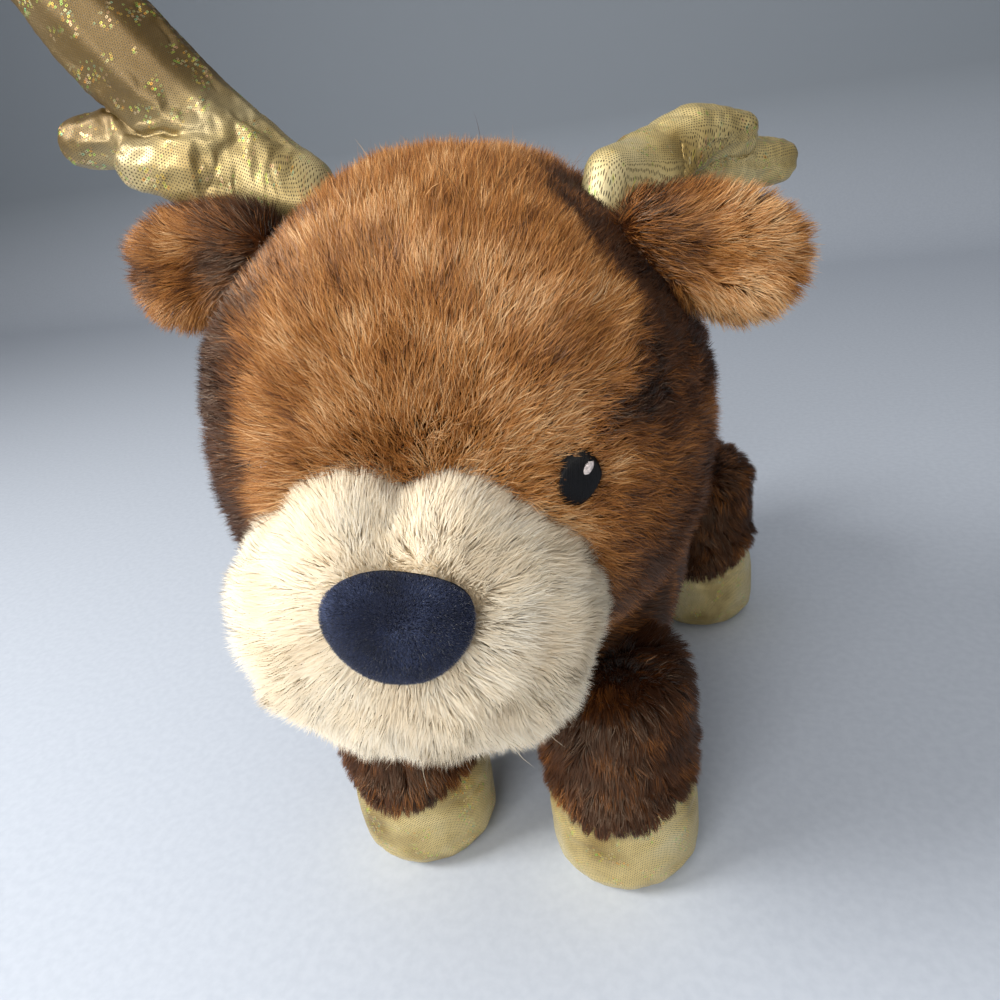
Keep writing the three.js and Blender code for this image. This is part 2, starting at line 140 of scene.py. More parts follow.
def grid_ball(cuts: int) -> tuple[np.ndarray, list]:
    """Makes a unit ball from a cube of even squares, which has no crowded poles.

    Args:
        cuts: How many cuts each edge of the cube gets.

    Returns:
        The points and the faces.
    """
    ball = bmesh.new()
    bmesh.ops.create_cube(ball, size=2.0)
    bmesh.ops.subdivide_edges(ball, edges=ball.edges[:], cuts=cuts, use_grid_fill=True)
    bmesh.ops.recalc_face_normals(ball, faces=ball.faces[:])
    points = np.array([tuple(v.co) for v in ball.verts])
    faces = [[v.index for v in face.verts] for face in ball.faces]
    ball.free()
    return unit(np.tan(points * (math.pi / 4))), faces


def place_piece(name: str, data: bpy.types.ID) -> Piece:
    """Puts a mesh, a lamp or a camera into the scene as an object at the origin.

    Args:
        name: Its name.
        data: The mesh, lamp or camera.

    Returns:
        The new object.
    """
    piece = bpy.data.objects.new(name, data)
    bpy.context.scene.collection.objects.link(piece)
    return piece


def make_object(name: str, points: np.ndarray, faces: list) -> Piece:
    """Makes a piece that is shaded smooth.

    Args:
        name: The piece's name.
        points: Its points, in metres.
        faces: Its faces, as lists of point numbers.

    Returns:
        The new object.
    """
    mesh = bpy.data.meshes.new(name)
    mesh.from_pydata(points.tolist(), [], faces)
    mesh.shade_smooth()
    return place_piece(name, mesh)


def discard(piece: Piece) -> None:
    """Removes a piece that others were copied from, with its mesh.

    Args:
        piece: The piece.
    """
    mesh = piece.data
    bpy.data.objects.remove(piece)
    bpy.data.meshes.remove(mesh)


def settle(piece: Piece) -> Piece:
    """Turns a piece's modifiers into a plain mesh.

    Args:
        piece: The object whose modifiers are applied.

    Returns:
        The same object, with no modifiers left.
    """
    graph = bpy.context.evaluated_depsgraph_get()
    plain = bpy.data.meshes.new_from_object(piece.evaluated_get(graph), depsgraph=graph)
    piece.modifiers.clear()
    old, piece.data = piece.data, plain
    plain.name = piece.name
    bpy.data.meshes.remove(old)
    return piece


def split_squares(piece: Piece) -> None:
    """Halves the squares of a piece's mesh and rounds it.

    Args:
        piece: The piece.
    """
    finer = piece.modifiers.new("finer", "SUBSURF")
    finer.levels = finer.render_levels = 1
    settle(piece)


def edit_mesh(piece: Piece, change: Callable[[bmesh.types.BMesh], object]) -> None:
    """Makes one change to a piece's mesh, through bmesh.

    Args:
        piece: The piece.
        change: What is done to its mesh.
    """
    shape = bmesh.new()
    shape.from_mesh(piece.data)
    change(shape)
    shape.to_mesh(piece.data)
    shape.free()


def fix_outside(piece: Piece) -> None:
    """Turns a closed piece's faces outwards."""
    edit_mesh(piece, lambda shape: bmesh.ops.recalc_face_normals(shape, faces=shape.faces[:]))


def read_points(mesh: bpy.types.Mesh, key: str = "co") -> np.ndarray:
    """The mesh's points, one to a row, or another vector of each point.

    Args:
        mesh: The mesh.
        key: The vector's name.

    Returns:
        The points or vectors.
    """
    flat = np.empty(len(mesh.vertices) * 3)
    mesh.vertices.foreach_get(key, flat)
    return flat.reshape(-1, 3)


def read_normals(mesh: bpy.types.Mesh) -> np.ndarray:
    """The mesh's point normals, one to a row."""
    return read_points(mesh, "normal")


def read_facing(mesh: bpy.types.Mesh) -> np.ndarray:
    """The way that each face of the mesh looks, one to a row."""
    return np.array([tuple(face.normal) for face in mesh.polygons])


def move_points(piece: Piece, points: np.ndarray) -> None:
    """Gives a piece's points new places."""
    piece.data.vertices.foreach_set("co", points.ravel())
    piece.data.update()


def store(piece: Piece, name: str, values: np.ndarray) -> None:
    """Stores a number or a vector at each point of a piece, under a name."""
    kind, key = ("FLOAT_VECTOR", "vector") if values.ndim == 2 else ("FLOAT", "value")
    piece.data.attributes.new(name, kind, "POINT").data.foreach_set(key, values.ravel())


# Node trees


class Graph:
    """Builds a node tree by socket name, whatever kind of tree it is."""

    def __init__(self, tree: bpy.types.NodeTree) -> None:
        """Takes the tree that the nodes go into."""
        self.tree = tree

    def add(self, kind: str, **settings: object) -> Node:
        """Adds a node.

        Args:
            kind: The node's type.
            settings: Properties to set on it.

        Returns:
            The node.
        """
        node = self.tree.nodes.new(kind)
        for key, value in settings.items():
            setattr(node, key, value)
        return node

    def feed(self, node: Node, **values: object) -> Node:
        """Sets or links a node's enabled inputs. A space in a name is written as an underscore.

        Args:
            node: The node to feed.
            values: Numbers, vectors, sockets or nodes, by input name.

        Returns:
            The same node.
        """
        for key, value in values.items():
            name = key.replace("_", " ")
            self.join(value, next(s for s in node.inputs if s.enabled and s.name == name))
        return node

    def join(self, value: object, into: Socket) -> None:
        """Links a socket or a node's first enabled output to an input, or sets a plain value on it.

        Args:
            value: What the input gets.
            into: The input.
        """
        if isinstance(value, Node):
            value = self.out(value)
        if isinstance(value, Socket):
            self.tree.links.new(value, into)
        else:
            into.default_value = value

    def out(self, node: Node, name: str | None = None) -> Socket:
        """A node's first enabled output, or the one of a name."""
        return next(s for s in node.outputs if s.enabled and name in (None, s.name))

    def _operation(self, kind: str, operation: str, values: tuple) -> Node:
        """A node of one operation, with its inputs in order.

        Args:
            kind: The node's type.
            operation: The operation.
            values: The inputs.

        Returns:
            The node.
        """
        node = self.add(kind, operation=operation)
        for value, into in zip(values, node.inputs):
            self.join(value, into)
        return node

    def maths(self, operation: str, *values: object) -> Socket:
        """The result of a Math node on some values."""
        return self._operation("ShaderNodeMath", operation, values).outputs[0]

    def plus(self, *values: object) -> Socket:
        """The sum of two numbers."""
        return self.maths("ADD", *values)

    def times(self, *values: object) -> Socket:
        """The product of two numbers."""
        return self.maths("MULTIPLY", *values)

    def clamped(self, value: object, low: float = 0.0, high: float = 1.0) -> Socket:
        """A number held between low and high."""
        return self.out(self.feed(self.add("ShaderNodeClamp"), Value=value, Min=low, Max=high))

    def vector(self, operation: str, *values: object) -> Socket:
        """The result of a Vector Math node on some vectors."""
        return self.out(self._operation("ShaderNodeVectorMath", operation, values))

    def scaled(self, vector: object, factor: object) -> Socket:
        """A vector times a number."""
        node = self._operation("ShaderNodeVectorMath", "SCALE", (vector,))
        return self.out(self.feed(node, Scale=factor))

    def between(self, start: object, end: object, share: object) -> Socket:
        """The vector that lies a share of the way from start to end."""
        return self.vector("ADD", start, self.scaled(self.vector("SUBTRACT", end, start), share))

    def split(self, vector: object) -> list[Socket]:
        """A vector's three numbers."""
        return list(self.feed(self.add("ShaderNodeSeparateXYZ"), Vector=vector).outputs)

    def joined(self, **numbers: object) -> Node:
        """The vector of the given X and Y."""
        return self.feed(self.add("ShaderNodeCombineXYZ"), **numbers)

    def noise(self, place: object, scale: float, detail: float) -> Node:
        """Noise at a place, whose first output is a number and whose second is a colour."""
        return self.feed(self.add("ShaderNodeTexNoise"), Vector=place, Scale=scale, Detail=detail)

    def ramp(self, share: object, stops: list[tuple[float, tuple]]) -> Socket:
        """Turns a number into a colour.

        Args:
            share: The number.
            stops: Places and linear colours.

        Returns:
            The colour.
        """
        node = self.add("ShaderNodeValToRGB")
        self.join(share, node.inputs[0])
        elements = node.color_ramp.elements
        while len(elements) < len(stops):
            elements.new(0.5)
        for element, (place, colour) in zip(elements, stops):
            element.position = place
            element.color = (*colour, 1.0)
        return node.outputs[0]

    def mixed(self, share: object, first: object, second: object, blend: str = "MIX") -> Socket:
        """Mixes two colours.

        Args:
            share: How much of the second.
            first: A colour.
            second: Another colour.
            blend: The blend type.

        Returns:
            The colour.
        """
        node = self.add("ShaderNodeMix", data_type="RGBA", blend_type=blend)
        self.join(share, node.inputs[0])
        for value, into in ((first, node.inputs[6]), (second, node.inputs[7])):
            self.join((*value, 1.0) if isinstance(value, tuple) else value, into)
        return node.outputs[2]


class Growth(Graph):
    """A tree of geometry nodes with named inputs, and how it is run on a piece.

    Attributes:
        NAME: The tree's name.
        INPUTS: The names and kinds of its inputs. Each tree has one called Finish.
        SPENT: What the tree reads or stores at the points, which goes once it has run.
    """

    NAME = ""
    INPUTS: tuple = ()
    SPENT: tuple = ()

    def __init__(self) -> None:
        """Makes the tree with its inputs, and ends it in the finish."""
        group = bpy.data.node_groups.new(self.NAME, "GeometryNodeTree")
        super().__init__(group)
        group.interface.new_socket("Geometry", in_out="INPUT", socket_type="NodeSocketGeometry")
        self.identifiers = {
            name: group.interface.new_socket(name, in_out="INPUT", socket_type=f"NodeSocket{kind}").identifier
            for name, kind in self.INPUTS}
        group.interface.new_socket("Geometry", in_out="OUTPUT", socket_type="NodeSocketGeometry")
        self.given = self.add("NodeGroupInput").outputs
        finish = self.feed(self.add("GeometryNodeSetMaterial"), Geometry=self.build(), Material=self.given["Finish"])
        self.join(finish, self.add("NodeGroupOutput").inputs[0])

    def build(self) -> Node:
        """Joins the nodes up. Each tree has its own way."""
        raise NotImplementedError

    def named(self, name: str, kind: str = "FLOAT_VECTOR") -> Socket:
        """Reads what is stored at each point under a name."""
        return self.out(self.feed(self.add("GeometryNodeInputNamedAttribute", data_type=kind), Name=name))

    def stored(self, geometry: object, name: str, value: object, kind: str = "FLOAT_VECTOR",
               domain: str = "POINT") -> Node:
        """Stores a value at each point, or at another domain, under a name."""
        node = self.add("GeometryNodeStoreNamedAttribute", data_type=kind, domain=domain)
        return self.feed(node, Geometry=geometry, Name=name, Value=value)

    def real_copies(self, points: object, instance: object) -> Node:
        """One real copy of an instance at each point."""
        placed = self.feed(self.add("GeometryNodeInstanceOnPoints"), Points=points, Instance=instance)
        return self.feed(self.add("GeometryNodeRealizeInstances"), Geometry=placed)

    def run(self, piece: Piece, values: dict[str, object]) -> None:
        """Runs the tree on a piece and keeps the result as its plain mesh.

        Args:
            piece: The piece.
            values: The tree's inputs by name.
        """
        modifier = piece.modifiers.new(self.NAME, "NODES")
        modifier.node_group = self.tree
        for key, value in values.items():
            modifier[self.identifiers[key]] = value
        settle(piece)
        for spent in self.SPENT:
            attribute = piece.data.attributes.get(spent)
            if attribute:
                piece.data.attributes.remove(attribute)
        piece.data.update()


def linear(red: int, green: int, blue: int) -> tuple[float, float, float]:
    """Turns a screen colour into the linear one that shaders take.

    Args:
        red: From 0 to 255.
        green: From 0 to 255.
        blue: From 0 to 255.

    Returns:
        The linear colour.
    """
    def one(value: int) -> float:
        """One channel, from the screen's curve to a straight one."""
        share = value / 255
        return share / 12.92 if share <= 0.04045 else ((share + 0.055) / 1.055) ** 2.4
    return one(red), one(green), one(blue)


def shade(colour: tuple, factor: float) -> tuple:
    """A colour made darker or lighter by one factor."""
    return tuple(min(1.0, channel * factor) for channel in colour)


# The pile: blades of fur grown from a cover


class PileTree(Growth):
    """The geometry nodes that grow a pile of fur from a combed skin.

    The skin's points carry up (the way out), comb (the way the pile lies), pile (its length as a
    share of the full one), ruffle (how far it wanders from its comb) and tint (how much lighter or
    darker it is, which is its uneven tone with painted light and shade added). Each blade bends from its
    root towards its tip, and tips near one another are drawn together into locks.
    """

    NAME = "grow_pile"
    INPUTS = (
        ("Density", "Float"), ("Length", "Float"), ("Length Spread", "Float"), ("Width", "Float"),
        ("Lean", "Float"), ("Swirl", "Float"), ("Swirl Size", "Float"), ("Frizz", "Float"),
        ("Lock Density", "Float"), ("Lock Pull", "Float"), ("Rise", "Float"), ("Rows", "Int"),
        ("Softness", "Float"), ("Seed", "Int"), ("Finish", "Material"),
    )
    CARRIED = ("up", "comb", "pile", "ruffle", "tint")
    SPENT = ("root", "bend", "tip", "across", "tone", "unit_place", *CARRIED)
    BARE = 0.04
    CLOUD_SCALE = 70.0
    CLOUD_DEPTH = 1.3
    SPIN = 0.55

    def _seed(self, salt: int) -> Socket:
        """The seed of one random draw."""
        return self.plus(self.given["Seed"], float(salt))

    def _random(self, low: float, high: float, salt: int) -> Socket:
        """A random number for each point, from low to high, with a seed of its own."""
        node = self.add("FunctionNodeRandomValue", data_type="FLOAT")
        return self.out(self.feed(node, Min=low, Max=high, Seed=self._seed(salt)))

    def _stray(self, salt: int) -> Socket:
        """A random vector for each point, with a seed of its own."""
        node = self.add("FunctionNodeRandomValue", data_type="FLOAT_VECTOR")
        return self.out(self.feed(node, Min=(-1.0, -1.0, -1.0), Max=(1.0, 1.0, 1.0), Seed=self._seed(salt)))

    def _scatter(self, density: object, salt: int) -> Socket:
        """Points strewn over the skin, fewer where its pile is left out.

        Args:
            density: Points to a square metre.
            salt: Added to the seed.

        Returns:
            The points.
        """
        node = self.add("GeometryNodeDistributePointsOnFaces", distribute_method="RANDOM")
        shown = self.maths("GREATER_THAN", self.named("pile", "FLOAT"), self.BARE)
        self.feed(node, Mesh=self.given["Geometry"], Density=self.times(density, shown), Seed=self._seed(salt))
        return node.outputs["Points"]

    def build(self) -> Node:
        """Joins the nodes up.

        Returns:
            The blades, in place and shaded.
        """
        given = self.given
        place = self.out(self.add("GeometryNodeInputPosition"))
        up, comb, pile = self.named("up"), self.named("comb"), self.named("pile", "FLOAT")
        whorl = self.noise(self.scaled(place, self.maths("DIVIDE", 1.0, given["Swirl Size"])), 1.0, 2.0)
        swirl = self.vector("SUBTRACT", whorl.outputs["Color"], (0.5, 0.5, 0.5))
        swirl = self.scaled(swirl, self.times(given["Swirl"], self.named("ruffle", "FLOAT")))
        flat = self.scaled(self.vector("ADD", comb, swirl), given["Lean"])
        heading = self.vector("NORMALIZE", self.vector("ADD", up, flat))
        full = self.times(given["Length"], pile)
        lock_tip = self.vector("ADD", place, self.scaled(heading, full))

        blades = self._scatter(given["Density"], 0)
        locks = self._scatter(given["Lock Density"], 1)
        near = self.feed(self.add("GeometryNodeSampleNearest"), Geometry=locks, Sample_Position=place)
        gathered = self.feed(self.add("GeometryNodeSampleIndex", data_type="FLOAT_VECTOR"),
                             Geometry=locks, Value=lock_tip, Index=near.outputs[0])

        shorter = self.times(self._random(0.0, 1.0, 3), given["Length Spread"])
        length = self.times(full, self.maths("SUBTRACT", 1.0, shorter))
        loose = self.scaled(self._stray(2), given["Frizz"])
        own = self.vector("NORMALIZE", self.vector("ADD", heading, loose))
        own_tip = self.vector("ADD", place, self.scaled(own, length))
        tip = self.between(own_tip, gathered, self.times(given["Lock Pull"], self._random(0.3, 1.0, 4)))
        bend = self.vector("ADD", place, self.scaled(up, self.times(length, given["Rise"])))
        faced = self.vector("ADD", up, self.scaled(self._stray(5), self.SPIN))
        across = self.vector("NORMALIZE", self.vector("CROSS_PRODUCT", own, faced))

        carriers = blades
        for name, value in (("root", place), ("bend", bend), ("tip", tip), ("across", across)):
            carriers = self.stored(carriers, name, value)
        carriers = self.stored(carriers, "tone", self._tone(place), "FLOAT")
        return self._shape(self.real_copies(carriers, self._blade()))

    def _tone(self, place: object) -> Socket:
        """How dark or light a blade is, from 0 to 1: cloudy over the skin, uneven in each lock, and shifted by the
        skin's tint, which carries painted light and shade.

        Args:
            place: Where the blade stands.

        Returns:
            The tone.
        """
        cloud = self.noise(place, self.CLOUD_SCALE, 2.0)
        clouded = self.times(self.maths("SUBTRACT", cloud.outputs[0], 0.5), self.CLOUD_DEPTH)
        # painted light and shade: the skin's tint shifts each blade's tone
        patch = self.plus(clouded, self.named("tint", "FLOAT"))
        return self.plus(self.plus(0.5, patch), self._random(-0.3, 0.3, 6))

    def _blade(self) -> Socket:
        """One flat blade of unit height, which is a point at its root and its tip.

        Returns:
            The blade's mesh.
        """
        grid = self.feed(self.add("GeometryNodeMeshGrid"), Size_X=1.0, Size_Y=1.0, Vertices_X=2,
                         Vertices_Y=self.given["Rows"])
        numbers = self.split(self.add("GeometryNodeInputPosition"))
        along = self.plus(numbers[1], 0.5)
        widest = self.maths("POWER", self.maths("SINE", self.times(along, math.pi)), 0.6)
        shape = self.joined(X=self.times(numbers[0], widest), Y=along)
        mesh = self.stored(self.out(grid, "Mesh"), "unit_place", shape)
        closed = self.feed(self.add("GeometryNodeSetPosition"), Geometry=mesh, Position=shape)
        return self.out(self.feed(self.add("GeometryNodeMergeByDistance"), Geometry=closed, Distance=0.01))

    def _shape(self, real: Node) -> Node:
        """Bends every real blade and gives it its map, along it and from its dark to its light tone.

        Args:
            real: The real blades.

        Returns:
            The bent blades.
        """
        side, along, _ = self.split(self.named("unit_place"))
        root, bend, tip = self.named("root"), self.named("bend"), self.named("tip")
        spine = self.between(self.between(root, bend, along), self.between(bend, tip, along), along)
        wide = self.scaled(self.named("across"), self.times(side, self.given["Width"]))
        bent = self.feed(self.add("GeometryNodeSetPosition"), Geometry=real,
                         Position=self.vector("ADD", spine, wide))
        tone = self.clamped(self.named("tone", "FLOAT"), 0.02, 0.98)
        uv = self.joined(X=self.maths("MULTIPLY_ADD", along, 0.9, 0.05),
                         Y=self.maths("MULTIPLY_ADD", side, 0.004, tone))
        return self._softened(self.stored(bent, UV_NAME, uv, "FLOAT2", "CORNER"), root, tip)

    def _softened(self, blades: Node, root: object, tip: object) -> Node:
        """Shades each blade partly as the skin under it, so that the coat looks thick and soft.

        Args:
            blades: The blades.
            root: The skin's way out.
            tip: How far the blade's own counts.

        Returns:
            The blades.
        """
        facing = self.vector("NORMALIZE", self.vector(
            "CROSS_PRODUCT", self.named("across"), self.vector("SUBTRACT", tip, root)))
        shared = self.scaled(self.named("up"), self.given["Softness"])
        normal = self.vector("NORMALIZE", self.vector("ADD", facing, shared))
        smoothed = self.feed(self.add("GeometryNodeSetShadeSmooth"), Geometry=blades)
        node = self.add("GeometryNodeSetMeshNormal", mode="FREE", domain="POINT")
        return self.feed(node, Mesh=smoothed, Custom_Normal=normal)


@dataclass(frozen=True)
class Pile:
    """How a fur grows. Lengths are in metres and densities count blades to a square metre.

    Attributes:
        density: Blades to a square metre.
        length: The full length of a blade.
        spread: By what share the shortest blades are shorter.
        width: A blade's width at its root.
        lean: How flat the pile lies. At 1 it leans by 45 degrees.
        swirl: How far the pile wanders from its comb.
        swirl_size: The size of a whorl.
        frizz: How far single blades stray.
        lock: The size of a lock.
        pull: How closely a lock's tips draw together.
        rise: How upright a blade starts.
        rows: Rows of points to a blade.
        softness: How much a blade is shaded as the skin under it.
    """

    density: float
    length: float
    spread: float = 0.35
    width: float = 0.00055
    lean: float = 1.1
    swirl: float = 1.0
    swirl_size: float = 0.02
    frizz: float = 0.22
    lock: float = 0.004
    pull: float = 0.5
    rise: float = 0.5
    rows: int = 3
    softness: float = 0.8

    def values(self, seed: int, share: float, finish: bpy.types.Material) -> dict[str, object]:
        """The tree's inputs for one part of this pile.

        Args:
            seed: The part's seed.
            share: The share of the blades that this part holds.
            finish: The blades' material.

        Returns:
            Values by the tree's input names.
        """
        return {
            "Density": self.density * share, "Length": self.length, "Length Spread": self.spread,
            "Width": self.width, "Lean": self.lean, "Swirl": self.swirl, "Swirl Size": self.swirl_size,
            "Frizz": self.frizz, "Lock Density": 1 / self.lock ** 2, "Lock Pull": self.pull,
            "Rise": self.rise, "Rows": self.rows, "Softness": self.softness, "Seed": seed,
            "Finish": finish}


class Furrier:
    """Grows piles on skins, in parts that each stay under the limit on triangles."""

    def __init__(self, quick: bool) -> None:
        """Makes the tree. A quick pile is thinner and has wider blades."""
        self.tree = PileTree()
        self.thin = 0.3 if quick else 1.0

    def grow(self, skin: Piece, pile: Pile, parts: int, seed: int,
             finish: bpy.types.Material) -> list[Piece]:
        """Grows a pile on a combed skin.

        Args:
            skin: The skin, with its up, comb and pile attributes.
            pile: How the fur grows.
            parts: How many pieces the pile is shared between.
            seed: The first part's seed.
            finish: The blades' material.

        Returns:
            The pieces of fur.
        """
        grown = []
        for part in range(parts):
            piece = place_piece(skin.name.replace("_skin", "_pile") + f"_{part + 1}", skin.data.copy())
            values = pile.values(seed + 100 * part, self.thin / parts, finish)
            values["Width"] *= self.thin ** -0.5
            self.tree.run(piece, values)
            grown.append(piece)
        return grown


# Finishes


class Surface(Graph):
    """A new material's tree, with its main shader."""

    def __init__(self, name: str) -> None:
        """Starts the material of that name.

        Args:
            name: The material's name.
        """
        self.material = bpy.data.materials.new(name)
        self.material.use_nodes = True
        super().__init__(self.material.node_tree)
        self.shader = self.tree.nodes["Principled BSDF"]

    def paint(self, **values: object) -> None:
        """Sets or links the main shader's inputs, by name."""
        self.feed(self.shader, **values)

    def place(self) -> Socket:
        """The place on the piece, which patterns follow."""
        return self.out(self.add("ShaderNodeTexCoord"), "Object")

    def raised(self, height: object, strength: float, distance: float) -> Node:
        """The normal of a surface that is raised a little by a pattern."""
        return self.feed(self.add("ShaderNodeBump"), Height=height, Strength=strength, Distance=distance)


@dataclass(frozen=True)
class Finish:
    """A finish, whose material is made when the first piece needs it.

    Attributes:
        name: The material's name.
    """

    name: str

    def make(self) -> bpy.types.Material:
        """The material, made now or before."""
        return bpy.data.materials.get(self.name) or self.mix()

    def mix(self) -> bpy.types.Material:
        """Makes the material. Each finish has its own way."""
        raise NotImplementedError


@dataclass(frozen=True)
class Mottle(Finish):
    """Fibre or thread, whose colour and surface follow one fine noise.

    Attributes:
        dark: Where the noise is darkest, and the colour there.
        light: Where it is lightest, and the colour there.
        grain: The noise's scale and detail.
        relief: The strength and depth of the surface's roughness.
        roughness: How rough it is.
        gloss: How strongly it reflects.
    """

    dark: tuple
    light: tuple
    grain: tuple
    relief: tuple
    roughness: float = 0.95
    gloss: float = 0.5

    def mix(self) -> bpy.types.Material:
        """Makes the material.

        Returns:
            The material.
        """
        surface = Surface(self.name)
        grain = surface.noise(surface.place(), *self.grain).outputs[0]
        surface.paint(Base_Color=surface.ramp(grain, [self.dark, self.light]),
                      Normal=surface.raised(grain, *self.relief),
                      Roughness=self.roughness, Specular_IOR_Level=self.gloss)
        return surface.material


@dataclass(frozen=True)
class FurFinish(Finish):
    """Pile fibres whose colour runs from root to tip and varies from blade to blade."""

    root: tuple
    deep: tuple
    middle: tuple
    bright: tuple
    tip: tuple
    dim: float = 0.45
    roughness: float = 0.37
    gloss: float = 0.5
    sheen: float = 0.06
    glow: tuple = (1.0, 0.82, 0.62)
    shadow: tuple = (0.22, 0.15, 0.09)

    @property
    def slot(self) -> str:
        """The slot that its pieces are in."""
        return self.name.removesuffix("_blades")

    def mix(self) -> bpy.types.Material:
        """Makes the material of the blades, painted by their own map.

        Returns:
            The material.
        """
        surface = Surface(self.name)
        along, tone, _ = surface.split(surface.add("ShaderNodeUVMap", uv_map=UV_NAME))
        tones = surface.ramp(tone, [(0.0, shade(self.deep, self.dim)), (0.16, self.deep), (0.45, self.middle),
                                    (0.75, self.bright), (1.0, self.tip)])
        half_lit = tuple(0.25 * channel + 0.75 * 0.85 for channel in self.shadow)
        light = surface.ramp(along, [(0.05, self.shadow), (0.5, half_lit), (0.95, (1.0, 1.0, 1.0))])
        surface.paint(Base_Color=surface.mixed(1.0, tones, light, "MULTIPLY"), Roughness=self.roughness,
                      Specular_IOR_Level=self.gloss, Specular_Tint=(*self.glow, 1.0), Sheen_Weight=self.sheen)
        return surface.material

    def backing(self) -> bpy.types.Material:
        """The material of the cloth at the roots: the backing, darkened as painted shade of the deep pile."""
        return Mottle(f"{self.slot}_backing", (0.3, self.root), (0.7, shade(self.deep, 0.7)), (900.0, 3.0),
                      (0.6, 0.001), gloss=0.1).make()


# painted shade: the root colour, which the backing takes, is dark so that gaps read as deep pile
BROWN_FUR = FurFinish(
    "brown_fur_blades", root=linear(36, 18, 7), deep=linear(92, 48, 16), middle=linear(168, 104, 44),
    bright=linear(206, 144, 78), tip=linear(242, 200, 148))
CREAM_FUR = FurFinish(
    "cream_fur_blades", root=linear(242, 224, 194), deep=linear(244, 226, 196), middle=linear(249, 234, 207),
    bright=linear(252, 242, 221), tip=linear(253, 247, 233), dim=0.95,
    roughness=0.6, gloss=0.3, glow=(1.0, 0.97, 0.92), shadow=(0.98, 0.94, 0.87))


# Forms


@dataclass
class Swell:
    """A ball swollen towards a box, as the stuffed covers are.

    Attributes:
        half: Half its width, depth and height, in metres.
        squareness: 2 for an oval, and more towards a box.
        turn: Its 3 by 3 turn.
        centre: Its centre.
    """

    half: np.ndarray
    squareness: float
    turn: np.ndarray
    centre: np.ndarray

    def bend(self, points: np.ndarray, half: np.ndarray) -> np.ndarray:
        """Shapes the points past a plain swell. The plain form leaves them."""
        return points

    def skin(self, ball: np.ndarray, inset: float = 0.0) -> np.ndarray:
        """The form's points.

        Args:
            ball: Points of a unit ball.
            inset: How far the form is drawn in.

        Returns:
            The points in the toy's frame.
        """
        half = self.half - inset
        size = (np.abs(ball) ** self.squareness).sum(axis=1, keepdims=True) ** (-1 / self.squareness)
        return self.placed(self.bend(ball * size * half, half))

    def placed(self, own: np.ndarray) -> np.ndarray:
        """Points of the form's own frame in the toy's."""
        return own @ self.turn.T + self.centre

    def local(self, points: np.ndarray) -> np.ndarray:
        """Points of the toy's frame in the form's own."""
        return (points - self.centre) @ self.turn

    def level(self, own: np.ndarray, inset: float = 0.0) -> np.ndarray:
        """Below 1 where points of the form's own frame lie inside it, and above 1 outside."""
        return (np.abs(own / (self.half - inset)) ** self.squareness).sum(axis=1)

    def outside(self, points: np.ndarray) -> np.ndarray:
        """How far points lie outside the form, about, in metres. Inside it they are below zero.

        Args:
            points: Points in the toy's frame.

        Returns:
            One distance to a point.
        """
        own = self.straighten(self.local(points))
        size = self.level(own) ** (1 / self.squareness)
        return (1 - 1 / np.maximum(size, 1e-6)) * np.linalg.norm(own, axis=1)

    def straighten(self, own: np.ndarray) -> np.ndarray:
        """Takes the bend back out of points, about. The plain form leaves them."""
        return own


@dataclass
class Muzzle(Swell):
    """The muzzle: two lobes with a cleft between their tops."""

    taper: float = 0.1
    cleft_depth: float = 12 * MM
    cleft_width: float = 13 * MM
    corner_trim: float = 0.15

    def trim(self, points: np.ndarray, half: np.ndarray) -> np.ndarray:
        """How much the upper corners are drawn in, as a factor for each point.

        Args:
            points: The points.
            half: The form's half sizes.

        Returns:
            The factors.
        """
        across, rise = points[:, 0] / half[0], points[:, 2] / half[2]
        corner = np.sin(2 * np.arctan2(rise, np.abs(across))) ** 2 * (rise > 0)
        return 1 - self.corner_trim * corner * smooth(np.hypot(across, rise), 0.4, 0.95)

    def cleft(self, across: np.ndarray, rise: np.ndarray) -> np.ndarray:
        """How far the cleft sinks the top at places across and up."""
        return self.cleft_depth * np.maximum(0, rise) * bump_at(across, 0.0, self.cleft_width)

    def straighten(self, own: np.ndarray) -> np.ndarray:
        """Takes the bend back out of points, about.

        Args:
            own: Points in the muzzle's own frame.

        Returns:
            The points of the plain swell.
        """
        plain = own.copy()
        rise = np.clip(plain[:, 2] / self.half[2], -1, 1)
        plain[:, 2] += self.cleft(plain[:, 0], rise)
        plain[:, 0] /= 1 - self.taper * rise
        plain[:, ::2] /= self.trim(plain, self.half)[:, None]
        return plain

    def bend(self, points: np.ndarray, half: np.ndarray) -> np.ndarray:
        """Narrows the top and sinks the cleft.

        Args:
            points: Points of the plain swell.
            half: Its half sizes.

        Returns:
            The shaped points.
        """
        points[:, ::2] *= self.trim(points, half)[:, None]
        rise = points[:, 2] / half[2]
        points[:, 0] *= 1 - self.taper * rise
        points[:, 2] -= self.cleft(points[:, 0], rise)
        return points


@dataclass
class Trunk(Swell):
    """The body, a little wider at the rump."""

    rump: float = 3 * MM

    def bend(self, points: np.ndarray, half: np.ndarray) -> np.ndarray:
        """Widens the rear of a plain swell of those half sizes."""
        points[:, 0] += self.rump * (points[:, 1] / half[1]) * (points[:, 0] / half[0])
        return points


@dataclass
class EarShape(Swell):
    """An ear along +X from its seam, which slants."""

    root_thickness: float = 0.65
    slant: float = 36.0
    reach: float = 27.5 * MM

    def bend(self, points: np.ndarray, half: np.ndarray) -> np.ndarray:
        """Thins and slants the root.

        Args:
            points: Points of the plain swell.
            half: Its half sizes.

        Returns:
            The shaped points.
        """
        share = smooth(points[:, 0], -half[0], half[0])
        points[:, 1] *= self.root_thickness + (1 - self.root_thickness) * np.minimum(1, 2 * share)
        points[:, 0] -= math.tan(math.radians(self.slant)) * points[:, 2] * (1 - share)
        points[:, 0] += self.reach
        return points


